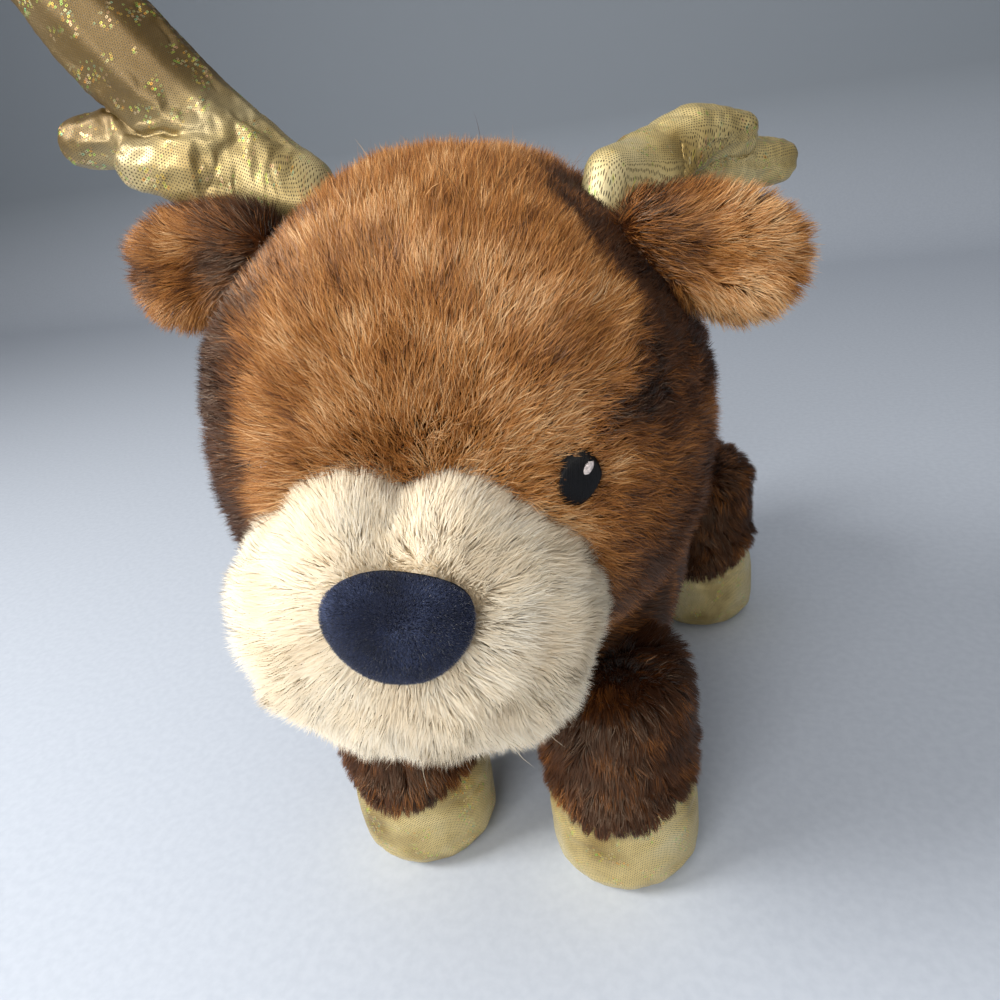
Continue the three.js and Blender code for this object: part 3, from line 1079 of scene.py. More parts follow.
@dataclass
class TailShape(Swell):
    """The tail along +Y from its seam."""

    root_thickness: float = 0.4
    reach: float = 17.5 * MM

    def bend(self, points: np.ndarray, half: np.ndarray) -> np.ndarray:
        """Thins the root.

        Args:
            points: Points of the plain swell.
            half: Its half sizes.

        Returns:
            The shaped points.
        """
        share = smooth(points[:, 1], -half[1], 0.0)
        points[:, 2] *= self.root_thickness + (1 - self.root_thickness) * share
        points[:, 1] += self.reach
        return points


@dataclass
class Pattern:
    """The toy's main forms and where they are joined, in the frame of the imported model.

    Places on the head are in its own frame, in millimetres to its left, back and up.

    Attributes:
        origin: The toy's own origin.
        head_turn: How far the head looks to its left, in degrees.
        head_tilt: How far it leans to its left.
    """

    origin: np.ndarray
    head_turn: float = 6.0
    head_tilt: float = 5.0
    head_place: tuple = (-3 * MM, -36 * MM, 206 * MM)
    head_half: tuple = (93 * MM, 87 * MM, 92 * MM)
    head_squareness: float = 2.35
    muzzle_half: tuple = (60 * MM, 46 * MM, 53 * MM)
    muzzle_place: tuple = (-2.0, -75.0, -34.0)
    body_half: tuple = (73 * MM, 132 * MM, 56 * MM)
    body_place: tuple = (0.0, 52 * MM, 104 * MM)
    body_squareness: float = 2.6
    small_squareness: float = 2.3
    ear_half: tuple = (28.5 * MM, 13 * MM, 22 * MM)
    ear_root: tuple = (62.0, -10.0, 59.0)
    ear_droop: float = 6.0
    ear_sweep: float = 4.0
    antler_root: tuple = (54.0, 11.0, 81.5)
    tail_half: tuple = (18 * MM, 20.5 * MM, 12 * MM)
    tail_lift: float = 30.0
    tail_height: float = 128 * MM
    tail_sink: float = 5 * MM
    front_side: float = 47 * MM
    front_place: float = -50 * MM
    hind_side: float = 72 * MM
    hind_place: float = 148 * MM

    @classmethod
    def laid_out(cls) -> "Pattern":
        """The pattern at the place that the left front sole gives it."""
        sole = np.mean(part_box("front_left_hoof_sole"), axis=0)
        return cls(np.array([sole[0] - cls.front_side, sole[1] - cls.front_place, 0.0]))

    def __post_init__(self) -> None:
        """Works out the forms."""
        self.head_matrix = rotation(self.head_turn, "Z") @ rotation(self.head_tilt, "Y")
        self.head_centre = self.origin + np.array(self.head_place)
        self.head = Swell(np.array(self.head_half), self.head_squareness, self.head_matrix, self.head_centre)
        self.muzzle = Muzzle(np.array(self.muzzle_half), self.small_squareness, self.head_matrix,
                             self.on_head(*self.muzzle_place))
        self.body = Trunk(np.array(self.body_half), self.body_squareness, np.eye(3),
                          self.origin + np.array(self.body_place))
        rise = (self.tail_height - self.body_place[2]) / self.body.half[2]
        reach = (1 - abs(rise) ** self.body_squareness) ** (1 / self.body_squareness)
        back = self.body_place[1] + self.body.half[1] * reach
        self.tail = TailShape(np.array(self.tail_half), self.small_squareness, rotation(self.tail_lift, "X"),
                              self.origin + np.array([0.0, back - self.tail_sink, self.tail_height]))

    def on_head(self, *local: float) -> np.ndarray:
        """A place on the head, as a place in the toy's frame in metres."""
        return self.head_matrix @ (np.array(local) * MM) + self.head_centre

    def beside(self, side: Side, place: tuple) -> np.ndarray:
        """A place on the head's left half or the same one on its right half, in the toy's frame."""
        return self.on_head(side.value * place[0], *place[1:])

    def mirrored(self, side: Side, turn: np.ndarray) -> np.ndarray:
        """A turn of a left-hand piece on the head, or its mirror image for the right-hand one."""
        return self.head_matrix @ np.diag([float(side.value), 1.0, 1.0]) @ turn

    def ear(self, side: Side) -> EarShape:
        """One ear's form. The right one is the left one seen in a mirror.

        Args:
            side: Which ear.

        Returns:
            The form.
        """
        turn = rotation(-self.ear_sweep, "Z") @ rotation(self.ear_droop, "Y")
        return EarShape(np.array(self.ear_half), self.small_squareness, self.mirrored(side, turn),
                        self.beside(side, self.ear_root))

    def legs(self) -> list[tuple[str, np.ndarray]]:
        """The legs' names and the places that they stand on.

        Returns:
            A name and a place for each leg.
        """
        places = []
        for end, out, back in (("front", self.front_side, self.front_place),
                               ("hind", self.hind_side, self.hind_place)):
            for side in Side:
                place = self.origin + np.array([side.value * out, back, 0.0])
                places.append((f"{end}_{side.word}", place))
        return places


def ball_faces(faces: list, side: Side) -> list:
    """The faces of a form, turned round where a mirrored form would be inside out."""
    return faces if side is Side.LEFT else [face[::-1] for face in faces]


def turned(radius: np.ndarray, height: np.ndarray, place: np.ndarray) -> tuple[np.ndarray, list]:
    """Turns an outline round an upright axis and closes both its ends with a point.

    Args:
        radius: One row to a ring from the bottom up, and one column to a side.
        height: The heights, in the same layout.
        place: Where the axis stands.

    Returns:
        The points and the faces.
    """
    rings, sides = radius.shape
    turn = around(sides)
    points = np.stack([radius * np.sin(turn), radius * np.cos(turn), height], axis=2).reshape(-1, 3)
    ends = np.array([[0.0, 0.0, height[0].mean()], [0.0, 0.0, height[-1].mean()]])
    points = np.vstack([points, ends]) + place
    faces = []
    for side in range(sides):
        after = (side + 1) % sides
        for ring in range(rings - 1):
            low, high = ring * sides, (ring + 1) * sides
            faces.append([low + after, low + side, high + side, high + after])
        faces.append([rings * sides, side, after])
        top = (rings - 1) * sides
        faces.append([rings * sides + 1, top + after, top + side])
    return points, faces


def disc_faces(rings: int, sides: int, start: int) -> list:
    """The faces of a disc of rings round a point, whose number is start.

    Args:
        rings: How many rings.
        sides: How many sides.
        start: The middle point's number.

    Returns:
        The faces.
    """
    faces = []
    for side in range(sides):
        after = (side + 1) % sides
        faces.append([start, start + 1 + side, start + 1 + after])
        for ring in range(rings - 1):
            low, high = start + 1 + ring * sides, start + 1 + (ring + 1) * sides
            faces.append([low + side, high + side, high + after, low + after])
    return faces


def closed_disc(name: str, front: np.ndarray, back: np.ndarray, rings: int, sides: int) -> Piece:
    """Makes a closed piece from a disc of rings round a point, and its back.

    Args:
        name: The piece's name.
        front: The front's points.
        back: The back's points, in the same order.
        rings: How many rings the disc has.
        sides: How many points each ring has.

    Returns:
        The piece.
    """
    count, edge = len(front), 1 + (rings - 1) * sides
    faces = disc_faces(rings, sides, 0) + [face[::-1] for face in disc_faces(rings, sides, count)]
    for side in range(sides):
        after = (side + 1) % sides
        faces.append([edge + side, edge + after, count + edge + after, count + edge + side])
    piece = make_object(name, np.vstack([front, back]), faces)
    fix_outside(piece)
    return piece


def along_path(path: list[tuple[float, float]], steps: int) -> np.ndarray:
    """Points at even steps along a path of radii and heights.

    Args:
        path: The corners of the path.
        steps: How many points.

    Returns:
        One radius and height to a row.
    """
    corners = np.array(path)
    lengths = np.concatenate([[0.0], np.cumsum(np.linalg.norm(np.diff(corners, axis=0), axis=1))])
    stops = np.linspace(0.0, lengths[-1], steps)
    return np.stack([np.interp(stops, lengths, corners[:, column]) for column in (0, 1)], axis=1)


def near_path(points: np.ndarray, path: np.ndarray) -> tuple[np.ndarray, np.ndarray]:
    """How far points lie from a path, and the way away from it.

    Args:
        points: The points.
        path: The path's corners.

    Returns:
        Distances, and unit vectors away from the path.
    """
    best = np.full(len(points), 1e9)
    away = np.zeros_like(points)
    for start, end in zip(path[:-1], path[1:]):
        run = end - start
        share = np.clip((points - start) @ run / (run @ run), 0.0, 1.0)
        gap = points - start - share[:, None] * run
        distance = np.linalg.norm(gap, axis=1)
        closer = distance < best
        best[closer] = distance[closer]
        away[closer] = gap[closer]
    return best, unit(away)


# Fur covers


@dataclass
class Nap:
    """How a skin's pile is laid, one value to a point of the skin.

    Attributes:
        comb: The way that the pile lies.
        pile: Its length, as a share.
        ruffle: How far it wanders from the comb, as a share.
        tint: How much lighter it is, or darker below zero. It holds uneven tone and painted light and shade.
    """

    comb: np.ndarray
    pile: np.ndarray
    ruffle: np.ndarray | None = None
    tint: np.ndarray | None = None

    def lay(self, piece: Piece) -> None:
        """Stores the nap on a skin. The comb loses its part along the normal.

        Args:
            piece: The skin.
        """
        up = read_normals(piece.data)
        flat = self.comb - (self.comb * up).sum(axis=1, keepdims=True) * up
        length = np.linalg.norm(flat, axis=1, keepdims=True)
        flat = flat / np.maximum(length, 1e-6) * np.minimum(length, 1.0)
        ruffle = np.ones(len(up)) if self.ruffle is None else self.ruffle
        tint = np.zeros(len(up)) if self.tint is None else self.tint
        for name, values in zip(PileTree.CARRIED, (up, flat, self.pile, ruffle, tint)):
            store(piece, name, values)


@dataclass
class FurCover:
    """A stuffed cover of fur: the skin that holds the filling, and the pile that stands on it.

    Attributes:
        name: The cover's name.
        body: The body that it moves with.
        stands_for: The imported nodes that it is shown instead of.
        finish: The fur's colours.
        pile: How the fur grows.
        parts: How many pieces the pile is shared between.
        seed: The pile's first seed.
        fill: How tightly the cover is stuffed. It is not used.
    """

    name: str
    body: str
    stands_for: tuple
    finish: FurFinish
    pile: Pile
    parts: int
    seed: int
    fill: float = 0.9

    def make(self, furrier: Furrier, points: np.ndarray, faces: list, nap: Nap) -> list[Piece]:
        """Makes the skin and grows its pile.

        Args:
            furrier: What grows the fur.
            points: The skin's points.
            faces: Its faces.
            nap: How its pile is laid.

        Returns:
            The pieces.
        """
        skin = make_object(f"{self.name}_skin", points, faces)
        skin.data.materials.append(self.finish.backing())
        nap.lay(skin)
        fur = furrier.grow(skin, self.pile, self.parts, self.seed, self.finish.make())
        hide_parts(*self.stands_for)
        for piece in (skin, *fur):
            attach(piece, self.body)
        return [skin, *fur]


@dataclass
class HeadCover:
    """The brown cover of the head and the cream cover of its muzzle.

    Attributes:
        pattern: The toy's forms.
        furrier: What grows the fur.
        brown_inset: How deep the head's skin lies under its outer size.
        cream_inset: How deep the muzzle's skin lies.
        seam_left: The seam between the face and the left cheek, on the head.
        ear_hollow: Where the head's skin sinks under the left ear, and ear_depth is how far.
        parting: Where the head's pile parts, behind the muzzle.
    """

    pattern: Pattern
    furrier: Furrier
    brown: Pile = Pile(density=4.4e6, length=10.6 * MM, width=0.25 * MM, lean=1.25, lock=3.6 * MM, swirl=1.3,
                       swirl_size=9 * MM, frizz=0.55, pull=0.5, spread=0.55)
    cream: Pile = Pile(density=5.8e6, length=13.0 * MM, width=0.26 * MM, lean=0.85, swirl=2.3, softness=2.4,
                       swirl_size=14 * MM, lock=6.0 * MM, pull=0.46, rise=0.55, frizz=0.3)
    strays: Pile = Pile(density=6e3, length=19 * MM, width=0.14 * MM, lean=0.8, swirl=1.5, frizz=0.7,
                        pull=0.0, rows=5)
    brown_inset: float = 7.5 * MM
    cream_inset: float = 9.5 * MM
    seam_left: tuple = ((41.0, -18.0, 85.0), (50.0, -34.0, 77.0), (54.0, -48.0, 67.0), (55.0, -59.0, 56.0),
                        (55.0, -68.0, 42.0), (53.0, -73.0, 29.0), (47.0, -78.0, 21.0))
    seam_depth: float = 6.0 * MM
    seam_width: float = 5.5 * MM
    ear_hollow: tuple = (60.0, -8.0, 62.0)
    ear_depth: float = 2.2 * MM
    parting: tuple = (0.0, -96.0, -16.0)
    nose_middle: tuple = (2.7, -121.0, -21.6)

    def make(self) -> list[Piece]:
        """Makes both covers and gives back their pieces."""
        return [*self._head(), *self._muzzle()]

    def _head(self) -> list[Piece]:
        """The head's skin and its pile.

        Returns:
            The pieces.
        """
        pattern = self.pattern
        ball, faces = grid_ball(46)
        points = pattern.head.skin(ball, self.brown_inset)
        own = pattern.head.local(points)
        out = unit(own / np.array(pattern.head_half) ** 2) @ pattern.head_matrix.T
        points = points + (1.4 * MM * waves(own, 24 * MM)[:, :1]) * out
        comb = unit(points - pattern.on_head(*self.parting))
        pile = smooth(pattern.muzzle.outside(points), -9 * MM, -3 * MM)
        pile *= smooth(pattern.body.outside(points), -22 * MM, -12 * MM)
        sideways = smooth(np.abs(own[:, 0]), 45 * MM, 72 * MM)
        brow = smooth(own[:, 2], 30 * MM, 66 * MM)
        wander = waves(own, 17 * MM, 5.0)
        crown = smooth(own[:, 2], 66 * MM, 88 * MM)
        # painted light and shade: the face's front lighter, most below the brow, its sides darker, and its right
        # cheek much darker as painted shade; wander adds uneven tone
        painted_flank_shade = smooth(-own[:, 0], 30 * MM, 68 * MM) * smooth(own[:, 1], 22 * MM, -12 * MM)
        tint = 0.09 * wander[:, 0] - 0.1 * sideways - 0.52 * painted_flank_shade + (0.06 + 0.12 * (1 - brow)) * (1 - sideways)
        ruffle = 0.7 + 0.9 * sideways + 0.5 * np.abs(wander[:, 2])
        comb *= ((0.75 + 0.25 * brow - 0.4 * crown) * (1 - 0.35 * sideways) * (1 + 0.5 * wander[:, 1]))[:, None]
        table = np.array(self.seam_left[::-1])
        seam_angle = np.interp(own[:, 2] / MM, table[:, 2], np.degrees(np.arctan2(table[:, 0], -table[:, 1])))
        for side in Side:
            pile, comb = self._round_eye(side, points, pile, comb)
            seam = np.array([pattern.beside(side, place) for place in self.seam_left])
            distance, away = near_path(points, seam)
            depth = 1.0 if side is Side.LEFT else 0.5
            crease = depth * bump_at(distance, 0.0, self.seam_width)
            ear = np.linalg.norm(points - pattern.beside(side, self.ear_hollow), axis=1)
            shoulder = 1 - smooth(ear, 24 * MM, 48 * MM)
            points = points - (self.seam_depth * crease + self.ear_depth * shoulder)[:, None] * out
            angle = np.degrees(np.arctan2(side.value * own[:, 0], -own[:, 1]))
            behind = smooth(angle - seam_angle, 3.0, 16.0) * (1 - smooth(angle, 85.0, 110.0))
            cheek = depth * behind * smooth(own[:, 2], 2 * MM, 20 * MM) * (1 - smooth(own[:, 2], 56 * MM, 68 * MM))
            pile *= (1 - 0.6 * crease) * (1 - 0.62 * shoulder) * (1 - 0.25 * cheek)
            below = depth * smooth(angle, 30.0, 44.0) * (1 - smooth(own[:, 2], -14 * MM, 12 * MM))
            # painted shade: darker in the seam's crease, on the cheek behind it, under the ear and below the eye;
            # the crease, cheek and below-eye shade is twice as strong on the left side
            tint -= 0.8 * crease + 0.45 * cheek + 0.4 * shoulder ** 2 + 0.34 * below
            ruffle += 1.2 * cheek
            comb *= (1 - 0.5 * cheek)[:, None]
            comb += 0.7 * crease[:, None] * away
            root = np.linalg.norm(points - pattern.beside(side, pattern.antler_root), axis=1)
            pile *= smooth(root, 7 * MM, 13 * MM)
            # painted shade: darker round the antler's root
            tint -= 0.4 * (1 - smooth(root, 14 * MM, 26 * MM))
        pile *= 1 + 0.16 * waves(own, 9 * MM, 9.0)[:, 0] + 0.12 * brow + 0.05 * crown
        nap = Nap(comb, pile, ruffle, tint)
        cover = FurCover("head", "toy", ("head_cover",), BROWN_FUR, self.brown, 4, 11)
        made = cover.make(self.furrier, points, faces, nap)
        on_top = Nap(comb, smooth(own[:, 2], 60 * MM, 75 * MM))
        return [*made, *self._loose(made[0], on_top, BROWN_FUR, 61)]

    def _round_eye(self, side: Side, points: np.ndarray, pile: np.ndarray,
                   comb: np.ndarray) -> tuple[np.ndarray, np.ndarray]:
        """Trims the pile round an eye. The right eye is grown over, as the photographed toy's is.

        Args:
            side: Which eye.
            points: The skin's points.
            pile: The pile's length.
            comb: The way that it lies.

        Returns:
            The pile and the comb round the eye.
        """
        eye = Eye.edge_distance(self.pattern, side, points)
        if side is Side.LEFT:
            pile = pile * smooth(eye, -3.0 * MM, -1.5 * MM) * (0.62 + 0.38 * smooth(eye, 0.0, 7 * MM))
            return pile, comb
        inner = (points - self.pattern.head_centre) @ Eye.frame(self.pattern, side)
        inner = smooth(inner[:, 0], -3 * MM, 2 * MM)
        near = (1 - smooth(eye, 4 * MM, 12 * MM)) * inner
        over = 4 * MM * inner
        pile = pile * smooth(eye, -3.0 * MM - over, -1.5 * MM - over) * (1 + 0.5 * near)
        return pile, comb * (1 - 0.7 * near)[:, None] - near[:, None] * Eye.frame(self.pattern, side)[:, 0]

    def _loose(self, skin: Piece, nap: Nap, finish: FurFinish, seed: int) -> list:
        """A few long stray hairs on a skin.

        Args:
            skin: The skin.
            nap: How its pile lies.
            finish: The fur.
            seed: The seed.

        Returns:
            The pieces.
        """
        carrier = place_piece(skin.name.replace("_skin", "_stray_skin"), skin.data.copy())
        for name in PileTree.CARRIED:
            carrier.data.attributes.remove(carrier.data.attributes[name])
        nap.lay(carrier)
        hairs = self.furrier.grow(carrier, self.strays, 1, seed, finish.make())
        discard(carrier)
        return [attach(piece, "toy") for piece in hairs]

    def _muzzle(self) -> list[Piece]:
        """The muzzle's skin and its pile.

        Returns:
            The pieces.
        """
        pattern = self.pattern
        ball, faces = grid_ball(36)
        points = pattern.muzzle.skin(ball, self.cream_inset)
        nose = Nose.outline_distance(pattern, points)
        clear = smooth(nose, 3 * MM, 14 * MM)
        lumps = waves(points, 17 * MM, 3.0)
        out = unit(points - pattern.muzzle.centre)
        points = points + (1.6 * MM * clear * lumps[:, 0])[:, None] * out
        comb = unit(points - pattern.on_head(*self.nose_middle))
        pile = smooth(pattern.head.outside(points), -16 * MM, -9 * MM)
        pile *= smooth(nose, -5 * MM, -2 * MM) * (0.62 + 0.38 * smooth(nose, 0.0, 8 * MM))
        drift = waves(points, 20 * MM, 11.0)
        over = (1 - smooth(nose, -2 * MM, 1.5 * MM)) * smooth(waves(points, 4 * MM, 13.0)[:, 0], 0.0, 0.35)
        pile *= 1 - 0.5 * over
        comb *= (np.clip(0.8 + 0.4 * drift[:, 0], 0.55, 1.1) * (1 - 1.6 * over))[:, None]
        comb += 0.3 * clear[:, None] * drift
        pile *= 1 + 0.22 * clear * waves(points, 11 * MM, 7.0)[:, 0]
        pile *= 1 - 0.25 * smooth(pattern.muzzle.local(points)[:, 0], 34 * MM, 54 * MM)
        nap = Nap(comb, pile, 0.25 + 1.2 * clear, 0.12 * lumps[:, 1])
        cover = FurCover("muzzle", "toy", ("muzzle_cover",), CREAM_FUR, self.cream, 2, 31)
        made = cover.make(self.furrier, points, faces, nap)
        below = Nap(comb, smooth(pattern.muzzle.local(points)[:, 2], -10 * MM, -30 * MM) * (pile > 0.5))
        return [*made, *self._loose(made[0], below, CREAM_FUR, 71)]


@dataclass
class Nose:
    """The velour nose, a crowned patch with a short nap, in the middle of the muzzle.

    Attributes:
        pattern: The toy's forms.
        furrier: What grows its nap.
        crown: How far its middle stands up.
        sink: How deep its edge sits in the muzzle.
        PLACE: Its middle on the head's front, across and up, in millimetres.
        TAPER: By what share its top is wider, and TAPER_BELOW by what share its bottom is narrower.
    """

    pattern: Pattern
    furrier: Furrier
    nap: Pile = Pile(density=3.0e7, length=1.3 * MM, width=0.11 * MM, lean=0.7, swirl=1.4, swirl_size=9 * MM,
                     frizz=0.6, lock=1.2 * MM, pull=0.12)
    crown: float = 4.0 * MM
    sink: float = 2.6 * MM
    thickness: float = 2.4 * MM

    PLACE = (2.7, -21.6)
    HALF_WIDTH = 20.0
    HALF_HEIGHT = 14.5
    SQUARENESS = 2.5
    TAPER = 0.14
    TAPER_BELOW = 0.3

    @classmethod
    def narrowed(cls, level: np.ndarray) -> np.ndarray:
        """The share of its width that the nose has at levels from -1, its bottom, to 1."""
        return 1 + np.where(level > 0, cls.TAPER, cls.TAPER_BELOW) * level

    @classmethod
    def outline_distance(cls, pattern: Pattern, points: np.ndarray) -> np.ndarray:
        """How far points lie outside the nose's outline, seen from the front.

        Args:
            pattern: The toy's forms.
            points: Points in the frame.

        Returns:
            Distances in metres.
        """
        own = pattern.head.local(points)
        across, up = own[:, 0] - cls.PLACE[0] * MM, own[:, 2] - cls.PLACE[1] * MM
        narrow = cls.narrowed(np.clip(up / (cls.HALF_HEIGHT * MM), -1, 1))
        size = (np.abs(across / (cls.HALF_WIDTH * MM * narrow)) ** cls.SQUARENESS
                + np.abs(up / (cls.HALF_HEIGHT * MM)) ** cls.SQUARENESS) ** (1 / cls.SQUARENESS)
        distance = (1 - 1 / np.maximum(size, 1e-3)) * np.hypot(across, up)
        return np.where(own[:, 1] < 0, distance, 0.1)

    def make(self) -> list[Piece]:
        """Makes the patch, closed at the back, and its nap.

        Returns:
            The pieces.
        """
        rings, sides = 22, 96
        share = np.linspace(0.0, 1.0, rings + 1)[1:]
        across, up = np.cos(around(sides)), np.sin(around(sides))
        reach = (np.abs(across) ** self.SQUARENESS + np.abs(up) ** self.SQUARENESS) ** (-1 / self.SQUARENESS)
        rim = np.stack([across * reach * self.HALF_WIDTH * self.narrowed(up * reach),
                        up * reach * self.HALF_HEIGHT], axis=1)
        flat = np.vstack([[[0.0, 0.0]], (share[:, None, None] * rim[None]).reshape(-1, 2)]) * MM
        level = np.concatenate([[0.0], np.repeat(share, sides)])
        front = self._seated(flat, self.sink - self.crown * (1 - level ** 4))
        count = len(front)
        back = self._seated(flat, np.full(count, self.sink + self.thickness))
        patch = closed_disc("nose_skin", front, back, rings, sides)
        patch.data.materials.append(NAVY_VELOUR.backing())
        middle = self.pattern.head_matrix @ np.array([0.0, 0.0, 4 * MM]) + front[0]
        shown = np.concatenate([np.ones(count), np.zeros(count)])
        inwards = read_normals(patch.data) @ (self.pattern.head_matrix @ np.array([0.0, 1.0, 0.0]))
        Nap(unit(np.vstack([front, back]) - middle), shown * (inwards < 0.4)).lay(patch)
        fur = self.furrier.grow(patch, self.nap, 1, 81, NAVY_VELOUR.make())
        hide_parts("nose_patch")
        for piece in (patch, *fur):
            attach(piece, "toy")
        return [patch, *fur]

    def _seated(self, flat: np.ndarray, sink: np.ndarray) -> np.ndarray:
        """Lays points of the nose's plane on the muzzle, some depth into it.

        Args:
            flat: Places across and up.
            sink: How deep under the muzzle's outer size each lies.

        Returns:
            Points in the frame.
        """
        pattern = self.pattern
        across, up = flat[:, 0] + self.PLACE[0] * MM, flat[:, 1] + self.PLACE[1] * MM
        start = np.array(pattern.muzzle_place) * MM

        def inside(depth: np.ndarray) -> np.ndarray:
            """Whether places at these depths lie in the muzzle."""
            own = np.stack([across - start[0], depth, up - start[2]], axis=1)
            return pattern.muzzle.level(pattern.muzzle.straighten(own)) < 1
        local = np.stack([across, last_inside(inside, len(flat)) + start[1] + sink, up], axis=1)
        return local @ pattern.head_matrix.T + pattern.head_centre


class SatinTree(Growth):
    """The geometry nodes that lay satin stitches side by side.

    Each point of the given mesh is one stitch. It carries start and end (where the thread goes into
    the cloth) and up (which way the stitch is raised).
    """

    NAME = "lay_satin"
    INPUTS = (("Thread", "Float"), ("Raise", "Float"), ("Seed", "Int"), ("Finish", "Material"))
    SPENT = ("start", "end", "up", "uneven", "unit_place")

    def build(self) -> Node:
        """Joins the nodes up.

        Returns:
            The strands, in place.
        """
        grid = self.feed(self.add("GeometryNodeMeshGrid"), Size_X=1.0, Size_Y=1.0, Vertices_X=6, Vertices_Y=9)
        strand = self.stored(self.out(grid, "Mesh"), "unit_place", self.add("GeometryNodeInputPosition"))
        loose = self.feed(self.add("FunctionNodeRandomValue", data_type="FLOAT"), Min=0.97, Max=1.03,
                          Seed=self.given["Seed"])
        stitches = self.stored(self.given["Geometry"], "uneven", loose, "FLOAT")
        return self.feed(self.add("GeometryNodeSetPosition"), Geometry=self.real_copies(stitches, strand),
                         Position=self._bent())

    def _bent(self) -> Socket:
        """Where each point of a strand goes: a half round that arches from start to end.

        Returns:
            The places.
        """
        width, length, _ = self.split(self.named("unit_place"))
        along = self.plus(length, 0.5)
        start, end, up = self.named("start"), self.named("end"), self.named("up")
        arch = self.maths("POWER", self.maths("SINE", self.times(along, math.pi)), 0.35)
        arch = self.times(self.times(arch, self.given["Raise"]), self.named("uneven", "FLOAT"))
        run = self.vector("NORMALIZE", self.vector("SUBTRACT", end, start))
        angle = self.times(width, math.pi)
        place = self.vector("ADD", self.between(start, end, along), self.scaled(up, arch))
        for way, turn in ((self.vector("CROSS_PRODUCT", run, up), "SINE"), (up, "COSINE")):
            place = self.vector("ADD", place, self.scaled(
                way, self.times(self.maths(turn, angle), self.given["Thread"])))
        return place

    def lay(self, name: str, starts: np.ndarray, ends: np.ndarray, up: np.ndarray,
            values: dict[str, object]) -> Piece:
        """Lays a row of stitches.

        Args:
            name: The piece's name.
            starts: Where each stitch begins.
            ends: Where each ends.
            up: Which way they are raised.
            values: The tree's inputs by name: thread, rise, seed and finish.

        Returns:
            The stitches as one plain mesh.
        """
        piece = make_object(name, (starts + ends) / 2, [])
        for key, places in (("start", starts), ("end", ends), ("up", np.repeat(up[None], len(starts), axis=0))):
            store(piece, key, places)
        self.run(piece, values)
        fix_outside(piece)
        piece.data.shade_smooth()
        return piece


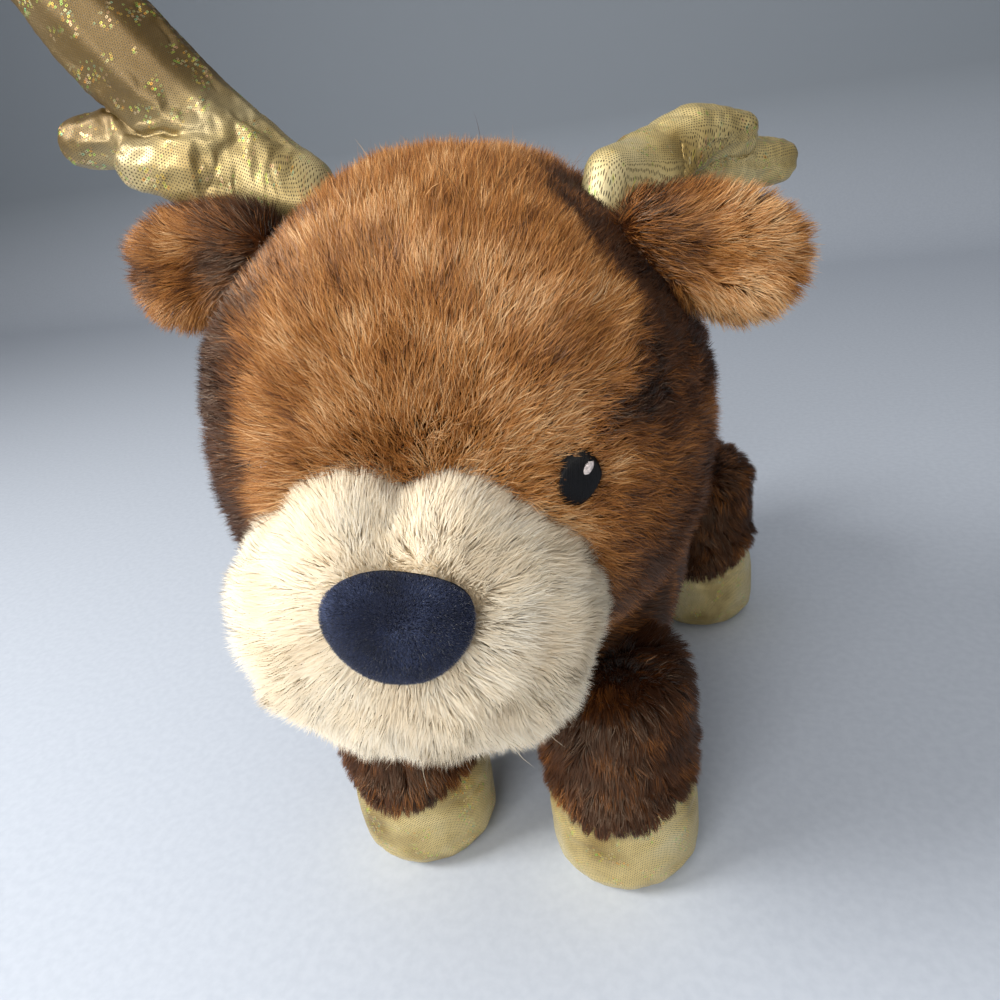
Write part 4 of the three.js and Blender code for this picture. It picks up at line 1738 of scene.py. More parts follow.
@dataclass
class Eye:
    """An eye of satin stitches on a raised oval, with a pale stitched glint.

    Attributes:
        pattern: The toy's forms.
        side: Which eye.
        satin: What lays the stitches.
        thread: The radius of its thread.
        pitch: How far the stitches lie apart.
        slant: How far each leans to one side.
        crown: How far the oval's middle stands up, and loft how far the thread does on it.
    """

    pattern: Pattern
    side: Side
    satin: SatinTree
    thread: float = 0.2 * MM
    pitch: float = 0.23 * MM
    slant: float = 0.6 * MM
    crown: float = 1.0 * MM
    loft: float = 0.9 * MM

    TURN = 33.0
    RISE = 5.0
    HALF_WIDTH = 6.4
    HALF_HEIGHT = 8.6
    SINK = 4.6

    @classmethod
    def frame(cls, pattern: Pattern, side: Side) -> np.ndarray:
        """The eye's turn: across, inwards and up."""
        return pattern.head_matrix @ rotation(side.value * cls.TURN, "Z")

    @classmethod
    def on_face(cls, pattern: Pattern, side: Side, across: np.ndarray, up: np.ndarray,
                sink: float) -> np.ndarray:
        """Lays places of the eye's plane on the head.

        Args:
            pattern: The toy's forms.
            side: Which eye.
            across: Places across, in metres.
            up: Places up from the eye's middle.
            sink: How deep under the head's outer size they lie.

        Returns:
            Points in the frame.
        """
        matrix = cls.frame(pattern, side)

        def placed(depth: np.ndarray) -> np.ndarray:
            """The places at these depths, in the toy's frame."""
            return np.stack([across, depth, up + cls.RISE * MM], axis=1) @ matrix.T + pattern.head_centre
        head = pattern.head
        return placed(last_inside(lambda depth: head.level(head.local(placed(depth)), sink) < 1, len(across)))

    @classmethod
    def edge_distance(cls, pattern: Pattern, side: Side, points: np.ndarray) -> np.ndarray:
        """How far points lie outside the eye's oval, seen along its axis.

        Args:
            pattern: The toy's forms.
            side: Which eye.
            points: Points in the frame.

        Returns:
            Distances in metres.
        """
        own = (points - pattern.head_centre) @ cls.frame(pattern, side)
        across, up = own[:, 0], own[:, 2] - cls.RISE * MM
        size = np.hypot(across / (cls.HALF_WIDTH * MM), up / (cls.HALF_HEIGHT * MM))
        distance = (1 - 1 / np.maximum(size, 1e-3)) * np.hypot(across, up)
        return np.where(own[:, 1] < 0, distance, 0.1)

    def make(self) -> list[Piece]:
        """Makes the padding, the black stitches and the glint.

        Returns:
            The pieces.
        """
        out = -self.frame(self.pattern, self.side)[:, 1]
        pad, stitches, glint = self._padding(out), self._stitches(out), self._glint(out)
        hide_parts(f"eye_{self.side.word}")
        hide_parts(f"eye_glint_{self.side.word}")
        for piece in (pad, stitches):
            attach(piece, "toy")
        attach(glint, "toy")
        return [pad, stitches, glint]

    def _seat(self, across: np.ndarray, up: np.ndarray) -> np.ndarray:
        """Places of the eye's plane, where its cloth lies in the pile."""
        return self.on_face(self.pattern, self.side, across, up, self.SINK * MM)

    def _stitches(self, out: np.ndarray) -> Piece:
        """The black stitches, from the oval's lower edge to its upper one.

        Args:
            out: The way out of the head at the eye.

        Returns:
            The stitches.
        """
        count = int(2 * self.HALF_WIDTH * MM / self.pitch)
        across = (np.arange(count) - (count - 1) / 2) * self.pitch
        share = np.sqrt(np.maximum(0.0, 1 - (across / (self.HALF_WIDTH * MM)) ** 2))
        tall = share * self.HALF_HEIGHT * MM
        lift = 0.2 * (self.crown * share)[:, None] * out
        starts, ends = self._seat(across - self.slant, -tall) + lift, self._seat(across + self.slant, tall) + lift
        return self.satin.lay(f"eye_{self.side.word}_satin", starts, ends, out, {
            "Thread": self.thread, "Raise": self.crown + self.loft, "Seed": 5, "Finish": BLACK_THREAD.make()})

    def _padding(self, out: np.ndarray) -> Piece:
        """The stuffed oval under the stitches.

        Args:
            out: The way out of the head at the eye.

        Returns:
            The oval.
        """
        rings, sides = 8, 40
        share = np.linspace(0.0, 1.0, rings + 1)[1:]
        across = np.concatenate([[0.0], (share[:, None] * np.cos(around(sides))).ravel()]) * self.HALF_WIDTH * MM
        up = np.concatenate([[0.0], (share[:, None] * np.sin(around(sides))).ravel()]) * self.HALF_HEIGHT * MM
        level = np.concatenate([[0.0], np.repeat(share, sides)])
        seat = self._seat(across, up)
        front = seat + ((self.crown + 0.8 * MM) * (1 - level ** 3))[:, None] * out
        pad = closed_disc(f"eye_{self.side.word}_padding", front, seat - 2.2 * MM * out, rings, sides)
        pad.data.materials.append(BLACK_THREAD.make())
        return pad

    def _glint(self, out: np.ndarray) -> Piece:
        """The pale stitches of the glint, at the eye's upper outer side.

        Args:
            out: The way out of the head at the eye.

        Returns:
            The stitches.
        """
        count, pitch, half_width, half_height = 9, 0.4 * MM, 1.4 * MM, 2.0 * MM
        rise = (np.arange(count) - (count - 1) / 2) * pitch
        half = np.sqrt(np.maximum(0.05, 1 - (rise / half_height) ** 2)) * half_width
        across, up = 2.4 * MM + 0.4 * rise, 3.6 * MM + rise
        lift = (self.crown + self.loft) * out
        starts, ends = self._seat(across - half, up) + lift, self._seat(across + half, up) + lift
        return self.satin.lay(f"eye_{self.side.word}_glint", starts, ends, out, {
            "Thread": 0.27 * MM, "Raise": 0.35 * MM, "Seed": 7 + self.side.value, "Finish": PALE_THREAD.make()})


@dataclass
class Ears:
    """The two ears, each a front and a back cloth of fur sewn along the edge."""

    pattern: Pattern
    furrier: Furrier
    pile: Pile = Pile(density=5.2e6, length=10.4 * MM, width=0.23 * MM, lean=0.85, swirl=1.5, swirl_size=11 * MM,
                      lock=4.0 * MM, pull=0.45, frizz=0.36, spread=0.45)
    inset: float = 6.0 * MM
    root_reach: tuple = (-11 * MM, -13 * MM, 0.0)
    fold_depth: float = 3.0 * MM

    def make(self) -> list[Piece]:
        """Makes both ears.

        Returns:
            The pieces.
        """
        pieces = []
        for side in Side:
            shape = self.pattern.ear(side)
            ball, faces = grid_ball(22)
            points = shape.skin(ball, self.inset)
            own = shape.local(points)
            reach = (1 - smooth(own[:, 0], 2 * MM, 26 * MM)) * smooth(own[:, 1], 4 * MM, -6 * MM)
            points = points + (reach[:, None] * np.array(self.root_reach)) @ shape.turn.T
            fold = bump_at(own[:, 2], 0.0, 6 * MM) * smooth(own[:, 0], 8 * MM, 30 * MM) * (own[:, 1] < 0)
            points = points + shape.turn[:, 1] * (self.fold_depth * fold)[:, None]
            fan = np.stack([np.full(len(own), 1.0), np.zeros(len(own)), own[:, 2] / (16 * MM)], axis=1)
            comb = unit(fan @ shape.turn.T)
            rooted = smooth(self.pattern.head.outside(points), -11 * MM, -3 * MM)
            lumps = waves(own, 11 * MM, 2.0)
            # painted light and shade: the left ear lighter than the right, darker in its fold and towards its root;
            # lumps add uneven tone
            nap = Nap(comb, rooted * (1 - 0.3 * fold) * (1 + 0.2 * lumps[:, 0]), 1.0 + 0.4 * lumps[:, 1],
                      0.23 + 0.17 * side.value + 0.12 * lumps[:, 2] - 0.3 * fold
                      - 0.7 * (1 - smooth(own[:, 0], 6 * MM, 30 * MM)))
            word = f"ear_{side.word}"
            cover = FurCover(word, word, (f"{word}_front", f"{word}_back"), BROWN_FUR, self.pile, 1,
                             200 + 10 * side.value, fill=0.7)
            pieces += cover.make(self.furrier, points, ball_faces(faces, side), nap)
        return pieces


@dataclass
class Trunks:
    """The body, the tail and the fur of the legs."""

    pattern: Pattern
    furrier: Furrier
    body_pile: Pile = Pile(density=1.6e6, length=10.6 * MM, width=0.42 * MM, lean=1.05, swirl=1.2,
                           swirl_size=20 * MM, lock=4.2 * MM, frizz=0.32, pull=0.45)
    leg_pile: Pile = Pile(density=2.8e6, length=9.2 * MM, width=0.33 * MM, lean=0.8, swirl=2.2,
                          swirl_size=10 * MM, lock=4.6 * MM, pull=0.7, frizz=0.3)
    tail_pile: Pile = Pile(density=3.4e6, length=9.5 * MM, width=0.3 * MM, lean=0.8, swirl=1.2, lock=3.6 * MM)
    inset: float = 7.5 * MM
    # painted shade: the body's and legs' pile is made darker
    tint: float = -0.52
    leg_radius: float = 27.5 * MM
    hoof_height: float = 46 * MM
    wave: float = 5 * MM
    leg_top: float = 107 * MM

    def make(self) -> list[Piece]:
        """Makes the covers.

        Returns:
            The pieces.
        """
        pieces = [*self._body(), *self._tail()]
        for index, (name, place) in enumerate(self.pattern.legs()):
            pieces += self._leg(name, place, 300 + 7 * index)
        return pieces

    def _body(self) -> list[Piece]:
        """The body's skin and its pile, combed back and down.

        Returns:
            The pieces.
        """
        pattern = self.pattern
        ball, faces = grid_ball(48)
        points = pattern.body.skin(ball, self.inset)
        own = pattern.body.local(points)
        comb = np.stack([0.15 * np.sign(own[:, 0]), np.ones(len(own)), -0.55 - 0.5 * (own[:, 2] < 0)], axis=1)
        pile = smooth(pattern.head.outside(points), -22 * MM, -12 * MM)
        for _, place in pattern.legs():
            gap = np.hypot(points[:, 0] - place[0], points[:, 1] - place[1])
            pile *= np.where((gap < self.leg_radius - 4 * MM) & (points[:, 2] < self.leg_top - 8 * MM), 0.0, 1.0)
        cover = FurCover("body", "toy", ("body_cover",), BROWN_FUR, self.body_pile, 3, 111, fill=0.85)
        # painted shade darkens the body's pile, with uneven tone from the waves
        tint = 0.8 * self.tint + 0.15 * waves(points, 18 * MM)[:, 0]
        return cover.make(self.furrier, points, faces, Nap(unit(comb), pile, tint=tint))

    def _tail(self) -> list[Piece]:
        """The tail's skin and its pile.

        Returns:
            The pieces.
        """
        shape = self.pattern.tail
        ball, faces = grid_ball(18)
        points = shape.skin(ball, 6 * MM)
        comb = unit(points - shape.centre)
        pile = smooth(self.pattern.body.outside(points), -10 * MM, -2 * MM)
        cover = FurCover("tail", "tail", ("tail_top", "tail_under"), BROWN_FUR, self.tail_pile, 1, 151, fill=0.7)
        return cover.make(self.furrier, points, faces, Nap(comb, pile))

    def _leg(self, name: str, place: np.ndarray, seed: int) -> list[Piece]:
        """One leg's skin, with a wavy lip over its hoof, and its pile, combed down.

        Args:
            name: The leg's name.
            place: Where it stands.
            seed: The pile's seed.

        Returns:
            The pieces.
        """
        sides = 72
        lip = self.hoof_height - self.wave * np.cos(2 * around(sides))
        hoof = 31.5 * MM - (lip - 38 * MM) * 4.5 / 12
        wall = along_path([(28.9 * MM, 54 * MM), (self.leg_radius, 62 * MM), (self.leg_radius, 92 * MM),
                           (26.4 * MM, 99 * MM), (21 * MM, 104 * MM), (12 * MM, 106.5 * MM),
                           (3 * MM, self.leg_top)], 32)
        rows = [(np.full(sides, 9 * MM), np.full(sides, 51.5 * MM)),
                (np.full(sides, 20 * MM), np.full(sides, 51.5 * MM)),
                (hoof + 0.2 * MM, lip + 1.2 * MM), (hoof + 0.9 * MM, lip), (hoof + 1.7 * MM, lip + 1.0 * MM)]
        rows += [(np.full(sides, radius), np.full(sides, height)) for radius, height in wall]
        radius, height = (np.array([row[column] for row in rows]) for column in (0, 1))
        points, faces = turned(radius, height, place)
        underneath = (points[:, 2] < 52 * MM) & (np.hypot(*(points - place)[:, :2].T) < 24 * MM)
        pile = np.where(underneath | (self.pattern.body.outside(points) < -14 * MM), 0.0, 1.0)
        lipped = 1 - smooth(points[:, 2], 46 * MM, 60 * MM)
        outwards = unit((points - place) * np.array([1.0, 1.0, 0.0]))
        domed = smooth(points[:, 2], 88 * MM, 100 * MM)[:, None]
        comb = np.array([0.0, 0.0, -1.0]) * (1 - 0.6 * domed) + (1.25 * domed - 0.25) * outwards
        cover = FurCover(f"{name}_leg", "toy", (f"{name}_leg_cover",), BROWN_FUR, self.leg_pile, 1, seed, fill=0.85)
        lumps = waves(points - place, 14 * MM, float(seed))
        pile = pile * (1 - 0.35 * lipped) * (1 + 0.25 * lumps[:, 0])
        # painted shade darkens the leg's pile, with uneven tone from the lumps
        nap = Nap(unit(comb), pile, 1 - 0.4 * lipped, self.tint + 0.15 * lumps[:, 1])
        return cover.make(self.furrier, points, faces, nap)


# Gold cloth


@dataclass(frozen=True)
class Stuffing:
    """How cloth is blown out by its filling, by a cloth simulation.

    Attributes:
        pressure: The filling's push.
        growth: By what share the cloth is larger than the form that it starts as, which puckers it.
        cap: How far a point may move.
        mass: The mass of a point, in kilograms.
        bending: How stiff the cloth is against a fold.
        frames: How long it runs.
    """

    pressure: float = 9.0
    growth: float = 0.05
    cap: float = 2.6 * MM
    mass: float = 0.02
    bending: float = 0.05
    frames: int = 20

    def swell(self, piece: Piece, held: np.ndarray) -> None:
        """Runs the simulation and keeps its result in the piece's own mesh.

        Args:
            piece: A closed mesh.
            held: How firmly each point stays where it is, from 0 to 1.
        """
        start = read_points(piece.data)
        group = piece.vertex_groups.new(name="held")
        for index in np.nonzero(held > 0.02)[0]:
            group.add([int(index)], float(held[index]), "REPLACE")
        cloth = piece.modifiers.new("cloth", "CLOTH")
        settings = cloth.settings
        settings.quality = 6
        settings.mass = self.mass
        settings.tension_stiffness = settings.shear_stiffness = 12.0
        settings.compression_stiffness = 6.0
        settings.bending_stiffness = self.bending
        settings.use_pressure = True
        settings.uniform_pressure_force = self.pressure
        settings.shrink_min = -self.growth
        settings.vertex_group_mass = "held"
        settings.effector_weights.gravity = 0.0
        cloth.collision_settings.use_collision = False
        cloth.point_cache.frame_start, cloth.point_cache.frame_end = 1, self.frames
        scene = bpy.context.scene
        scene.frame_start, scene.frame_end = 1, self.frames
        for frame_number in range(1, self.frames + 1):
            scene.frame_set(frame_number)
        graph = bpy.context.evaluated_depsgraph_get()
        swollen = read_points(piece.evaluated_get(graph).data)
        piece.modifiers.clear()
        piece.vertex_groups.clear()
        scene.frame_set(1)
        move = swollen - start
        length = np.linalg.norm(move, axis=1, keepdims=True)
        move_points(piece, start + move * np.minimum(1.0, self.cap / np.maximum(length, 1e-9)))


def remesh(piece: Piece, voxel: float) -> None:
    """Gives a closed piece an even mesh of squares, each as wide as the voxel.

    Args:
        piece: The piece.
        voxel: The size of a square.
    """
    modifier = piece.modifiers.new("even", "REMESH")
    modifier.mode = "VOXEL"
    modifier.voxel_size = voxel
    modifier.use_smooth_shade = True
    settle(piece)


class Neighbours:
    """Which points of a mesh are joined by an edge, for work that spreads over it."""

    def __init__(self, mesh: bpy.types.Mesh) -> None:
        """Reads the mesh's edges.

        Args:
            mesh: The mesh.
        """
        flat = np.empty(len(mesh.edges) * 2, dtype=np.int32)
        mesh.edges.foreach_get("vertices", flat)
        self.first, self.second = flat.reshape(-1, 2).T
        self.count = np.bincount(flat, minlength=len(mesh.vertices)).astype(float)

    def mean(self, values: np.ndarray) -> np.ndarray:
        """The mean of each point's neighbours.

        Args:
            values: A number or a vector at each point.

        Returns:
            The means.
        """
        total = np.zeros_like(values)
        np.add.at(total, self.first, values[self.second])
        np.add.at(total, self.second, values[self.first])
        return total / self.count.reshape(-1, *[1] * (values.ndim - 1))

    def highest(self, values: np.ndarray, share: float) -> np.ndarray:
        """Each point's own value, or a share of its highest neighbour's where that is more.

        Args:
            values: A number at each point.
            share: The share.

        Returns:
            The numbers.
        """
        spread = values.copy()
        np.maximum.at(spread, self.first, share * values[self.second])
        np.maximum.at(spread, self.second, share * values[self.first])
        return spread


def relax(piece: Piece, rounds: int, factor: float = 0.5) -> None:
    """Smooths a mesh and then gives it back the size that this costs it.

    Args:
        piece: The piece.
        rounds: How many rounds.
        factor: How far each round goes.
    """
    points, neighbours = read_points(piece.data), Neighbours(piece.data)
    for weight in [factor, -factor * 1.04] * rounds:
        points = points + weight * (neighbours.mean(points) - points)
    move_points(piece, points)


def keep_clear(piece: Piece, inside: bpy.types.Mesh, gap: float) -> None:
    """Moves a cover's points out to where they clear what is inside it, and evens out the step.

    Args:
        piece: The cover.
        inside: The mesh that it goes round.
        gap: How far it stays away.
    """
    tree = BVHTree.FromPolygons([vertex.co for vertex in inside.vertices],
                                [tuple(face.vertices) for face in inside.polygons])
    neighbours = Neighbours(piece.data)
    for _ in range(3):
        points, normals = read_points(piece.data), read_normals(piece.data)
        push = np.zeros(len(points))
        for index, place in enumerate(points):
            near, normal, _, distance = tree.find_nearest(Vector(place))
            outside = (Vector(place) - near).dot(normal) > 0
            push[index] = max(0.0, gap - (distance if outside else -distance))
        for _ in range(3):
            push = neighbours.highest(push, 0.7)
        move_points(piece, points + normals * push[:, None])


def hollows(mesh: bpy.types.Mesh) -> np.ndarray:
    """How hollow a mesh is at each point: 0 where it is flat or bulges, and 1 in a sharp valley.

    Args:
        mesh: The mesh.

    Returns:
        A number for each point.
    """
    points, neighbours = read_points(mesh), Neighbours(mesh)
    rise = ((neighbours.mean(points) - points) * read_normals(mesh)).sum(axis=1)
    for _ in range(2):
        rise = (rise + neighbours.mean(rise)) / 2
    return smooth(rise, 0.02 * MM, 0.16 * MM)


def seam_distance(mesh: bpy.types.Mesh, field: np.ndarray) -> np.ndarray:
    """How far each point lies from where a field is zero, about.

    Args:
        mesh: The mesh.
        field: One number to a point.

    Returns:
        Distances in metres.
    """
    points, joined = read_points(mesh), Neighbours(mesh)
    slope = np.abs(field[joined.first] - field[joined.second])
    slope /= np.maximum(np.linalg.norm(points[joined.first] - points[joined.second], axis=1), 1e-6)
    steepest = np.zeros(len(points))
    for ends in (joined.first, joined.second):
        np.maximum.at(steepest, ends, slope)
    return np.abs(field) / np.maximum(steepest, 12.0)


def lay_cloth(piece: Piece, panel: np.ndarray) -> None:
    """Gives a piece a map of its cloth, in metres, with a seam wherever two panels meet.

    Args:
        piece: The piece.
        panel: Which panel each face belongs to.
    """
    def sew(shape: bmesh.types.BMesh) -> None:
        """Marks the seams.

        Args:
            shape: The piece's mesh.
        """
        for edge in shape.edges:
            sides = [panel[face.index] for face in edge.link_faces]
            edge.seam = len(sides) == 2 and sides[0] != sides[1]
    piece.data.uv_layers.new(name=WEAVE_NAME)
    edit_mesh(piece, sew)
    for other in bpy.context.view_layer.objects:
        other.select_set(other == piece)
    bpy.context.view_layer.objects.active = piece
    bpy.ops.object.mode_set(mode="EDIT")
    bpy.ops.mesh.select_all(action="SELECT")
    bpy.ops.uv.unwrap(method="ANGLE_BASED", margin=0.01)
    bpy.ops.uv.average_islands_scale()
    bpy.ops.object.mode_set(mode="OBJECT")
    piece.select_set(False)
    mesh = piece.data
    flat = np.empty(len(mesh.loops) * 2)
    mesh.uv_layers[WEAVE_NAME].uv.foreach_get("vector", flat)
    uv = flat.reshape(-1, 2)
    solid, drawn = 0.0, 0.0
    for face in mesh.polygons:
        corners = uv[face.loop_start:face.loop_start + face.loop_total]
        ahead = np.roll(corners, -1, axis=0)
        drawn += abs((corners[:, 0] * ahead[:, 1] - corners[:, 1] * ahead[:, 0]).sum()) / 2
        solid += face.area
    uv *= math.sqrt(solid / max(drawn, 1e-12))
    mesh.uv_layers[WEAVE_NAME].uv.foreach_set("vector", uv.ravel())


@dataclass(frozen=True)
class FoilCloth(Finish):
    """Gold cloth with a foil face: staggered pinholes, and flecks that have caught a colour.

    Attributes:
        pitch: How far the pinholes lie apart along a row.
        row_pitch: How far its rows lie apart, as a share of the pitch.
        hole_size: A pinhole's smallest radius, as a share of the pitch.
        hole_spread: By how much more the largest ones are.
        edge: How soft a pinhole's edge is.
        stray: How far a pinhole strays from its row.
        fleck: How strongly the flecks are coloured.
    """

    name: str = "foil_weave"
    pitch: float = 0.95 * MM
    row_pitch: float = 0.72
    hole_size: float = 0.21
    hole_spread: float = 0.07
    edge: float = 0.07
    stray: float = 0.16
    fleck: float = 0.6
    # painted shade: the dark bronze that a piece's painted shade draws the gold towards
    bronze: tuple = linear(84, 58, 12)
    gold: tuple = linear(216, 194, 134)
    pale: tuple = linear(232, 218, 172)
    olive: tuple = linear(146, 120, 62)
    hole: tuple = linear(66, 54, 22)
    metal: float = 0.52
    roughness: float = 0.42

    HUES = [
        (0.0, linear(250, 160, 70)), (0.2, linear(255, 236, 120)), (0.42, linear(150, 226, 96)),
        (0.6, linear(255, 244, 190)), (0.8, linear(250, 190, 150)), (1.0, linear(120, 214, 176))]

    def mix(self) -> bpy.types.Material:
        """Makes the material, which reads the piece's own map of its cloth.

        Returns:
            The material.
        """
        foil = Surface(self.name)
        width, length, _ = foil.split(foil.add("ShaderNodeUVMap", uv_map=WEAVE_NAME))
        row_at = foil.maths("DIVIDE", length, self.pitch * self.row_pitch)
        row = foil.maths("FLOOR", row_at)
        stagger = foil.times(foil.maths("FLOORED_MODULO", row, 2.0), 0.5)
        column_at = foil.plus(foil.maths("DIVIDE", width, self.pitch), stagger)
        cell = foil.joined(X=foil.maths("FLOOR", column_at), Y=row)
        chance = foil.feed(foil.add("ShaderNodeTexWhiteNoise", noise_dimensions="2D"), Vector=cell)
        jitter = foil.feed(foil.add("ShaderNodeSeparateColor"), Color=chance.outputs["Color"]).outputs
        across = foil.maths("SUBTRACT", foil.maths("FRACT", column_at), 0.5)
        across = foil.plus(across, foil.maths("MULTIPLY_ADD", jitter[0], self.stray, -self.stray / 2))
        along = foil.times(foil.maths("SUBTRACT", foil.maths("FRACT", row_at), 0.5), 0.8)
        gap = foil.maths("SQRT", foil.plus(foil.times(across, across), foil.times(along, along)))
        reach = foil.maths("MULTIPLY_ADD", jitter[1], self.hole_spread, self.hole_size)
        hole = foil.clamped(foil.maths("DIVIDE", foil.maths("SUBTRACT", reach, gap), self.edge))
        fleck = self._flecks(foil, chance.outputs["Value"])
        cloud = foil.noise(foil.place(), 30.0, 3.0).outputs[0]
        base = foil.ramp(cloud, [(0.3, self.olive), (0.5, self.gold), (0.72, self.pale)])
        # painted shade: where a piece carries it, the gold is darkened towards bronze
        dusk = foil.add("ShaderNodeAttribute", attribute_name="dusk").outputs["Fac"]
        hue = foil.ramp(chance.outputs["Value"], self.HUES)
        shine = foil.mixed(fleck, foil.mixed(dusk, base, self.bronze), hue)
        height = foil.plus(foil.times(hole, -1.0), foil.times(chance.outputs["Value"], 0.5))
        foil.paint(Base_Color=foil.mixed(hole, shine, self.hole), Roughness=self.roughness,
                   Metallic=foil.plus(foil.maths("MULTIPLY_ADD", hole, -0.5, self.metal), foil.times(fleck, 0.7)),
                   Normal=foil.raised(height, 0.35, 0.0004))
        return foil.material

    def _flecks(self, foil: Surface, chance: Socket) -> Socket:
        """Where the flecks are: on some cells, by chance, and in clouds.

        Args:
            foil: The material's nodes.
            chance: A chance number for each cell.

        Returns:
            How strong a fleck is.
        """
        cloud = foil.noise(foil.place(), 95.0, 1.0).outputs[0]
        cloudy = foil.clamped(foil.maths("DIVIDE", foil.maths("SUBTRACT", cloud, 0.5), 0.12))
        lucky = foil.maths("GREATER_THAN", foil.maths("FRACT", foil.times(chance, 37.0)), 0.78)
        return foil.times(foil.times(cloudy, lucky), self.fleck)


@dataclass
class Antler:
    """An antler of gold cloth, two panels sewn along its outline and stuffed.

    Attributes:
        pattern: The toy's forms.
        side: Which antler.
        stuffing: How it is stuffed.
        voxel: The size of its first squares.
        ease: How far the cloth lies outside the filling, and clearance is the least of that.
        pucker: How uneven the cloth is.
        crease: How far it is drawn in where its tines meet the beam.
        TURNS: How far each antler leans back and spreads, in degrees.
        DUSK: How far each one's cloth is darkened towards bronze as painted shade, on the raised right one only.
        REACH: How far the underside of each root reaches into the head.
    """

    pattern: Pattern
    side: Side
    stuffing: Stuffing = Stuffing()
    voxel: float = 1.8 * MM
    ease: float = 1.3 * MM
    pucker: float = 0.35 * MM
    crease: float = 2.2 * MM
    clearance: float = 0.8 * MM
    seam_depth: float = 0.7 * MM
    seam_width: float = 1.2 * MM

    TURNS = {Side.RIGHT: (-4.0, 20.0), Side.LEFT: (92.0, -12.0)}
    DUSK = {Side.RIGHT: 0.9, Side.LEFT: 0.0}
    REACH = {Side.RIGHT: (0.0, -5 * MM, -7 * MM), Side.LEFT: (-2 * MM, -6 * MM, -11 * MM)}

    def _frame(self) -> tuple[np.ndarray, np.ndarray]:
        """The antler's own turn, with its panels facing along its Y, and its root.

        Returns:
            The turn and the root's place.
        """
        lean, spread = self.TURNS[self.side]
        turn = self.pattern.mirrored(self.side, rotation(-lean, "X") @ rotation(spread, "Y"))
        return turn, self.pattern.beside(self.side, self.pattern.antler_root)

    def make(self) -> list[Piece]:
        """Makes the antler.

        Returns:
            The piece.
        """
        word = f"antler_{self.side.word}"
        filling = frame["nodes"][f"{word}_stuffing"]
        piece = self._eased(f"{word}_cloth", filling.data)
        turn, root = self._frame()
        distance = seam_distance(piece.data, read_normals(piece.data) @ turn[:, 1])
        height = ((read_points(piece.data) - root) @ turn)[:, 2]
        held = np.maximum(bump_at(distance, 0.0, 2.2 * MM), 1 - smooth(height, 6 * MM, 14 * MM))
        self.stuffing.swell(piece, held)
        keep_clear(piece, filling.data, self.clearance)
        split_squares(piece)
        normals = read_normals(piece.data)
        distance = seam_distance(piece.data, normals @ turn[:, 1])
        height = ((read_points(piece.data) - root) @ turn)[:, 2]
        groove = bump_at(distance, 0.0, self.seam_width) * smooth(height, 8 * MM, 14 * MM)
        move_points(piece, read_points(piece.data) - normals * (self.seam_depth * groove)[:, None])
        keep_clear(piece, filling.data, 0.5 * self.clearance)
        lay_cloth(piece, read_facing(piece.data) @ turn[:, 1] > 0)
        reach = self.pattern.head_matrix @ np.array(self.REACH[self.side])
        low = (1 - smooth(height, 3 * MM, 20 * MM)) * smooth(read_normals(piece.data) @ unit(reach), -0.1, 0.5)
        move_points(piece, read_points(piece.data) + low[:, None] * reach)
        # painted shade: darker up the antler, strongest on its upper part
        store(piece, "dusk", self.DUSK[self.side] * (0.35 + 0.65 * smooth(height, 18 * MM, 50 * MM)))
        piece.data.materials.append(GOLD_FOIL.make())
        piece.data.shade_smooth()
        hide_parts(f"{word}_cover")
        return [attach(piece, word)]

    def _eased(self, name: str, filling: bpy.types.Mesh) -> Piece:
        """The cloth before it is stuffed: an even skin a little outside the filling, puckered and creased.

        Args:
            name: The piece's name.
            filling: The filling's mesh.

        Returns:
            The cloth.
        """
        piece = place_piece(name, filling.copy())
        piece.data.materials.clear()
        edit_mesh(piece, lambda shape: bmesh.ops.remove_doubles(shape, verts=shape.verts[:], dist=0.02 * MM))
        remesh(piece, self.voxel)
        relax(piece, 10)
        start = read_points(piece.data)
        pucker = self.pucker * (waves(start, 9 * MM) + waves(start, 22 * MM, 4.0))[:, 0]
        ease = self.ease + pucker - self.crease * hollows(piece.data)
        move_points(piece, start + ease[:, None] * read_normals(piece.data))
        return piece


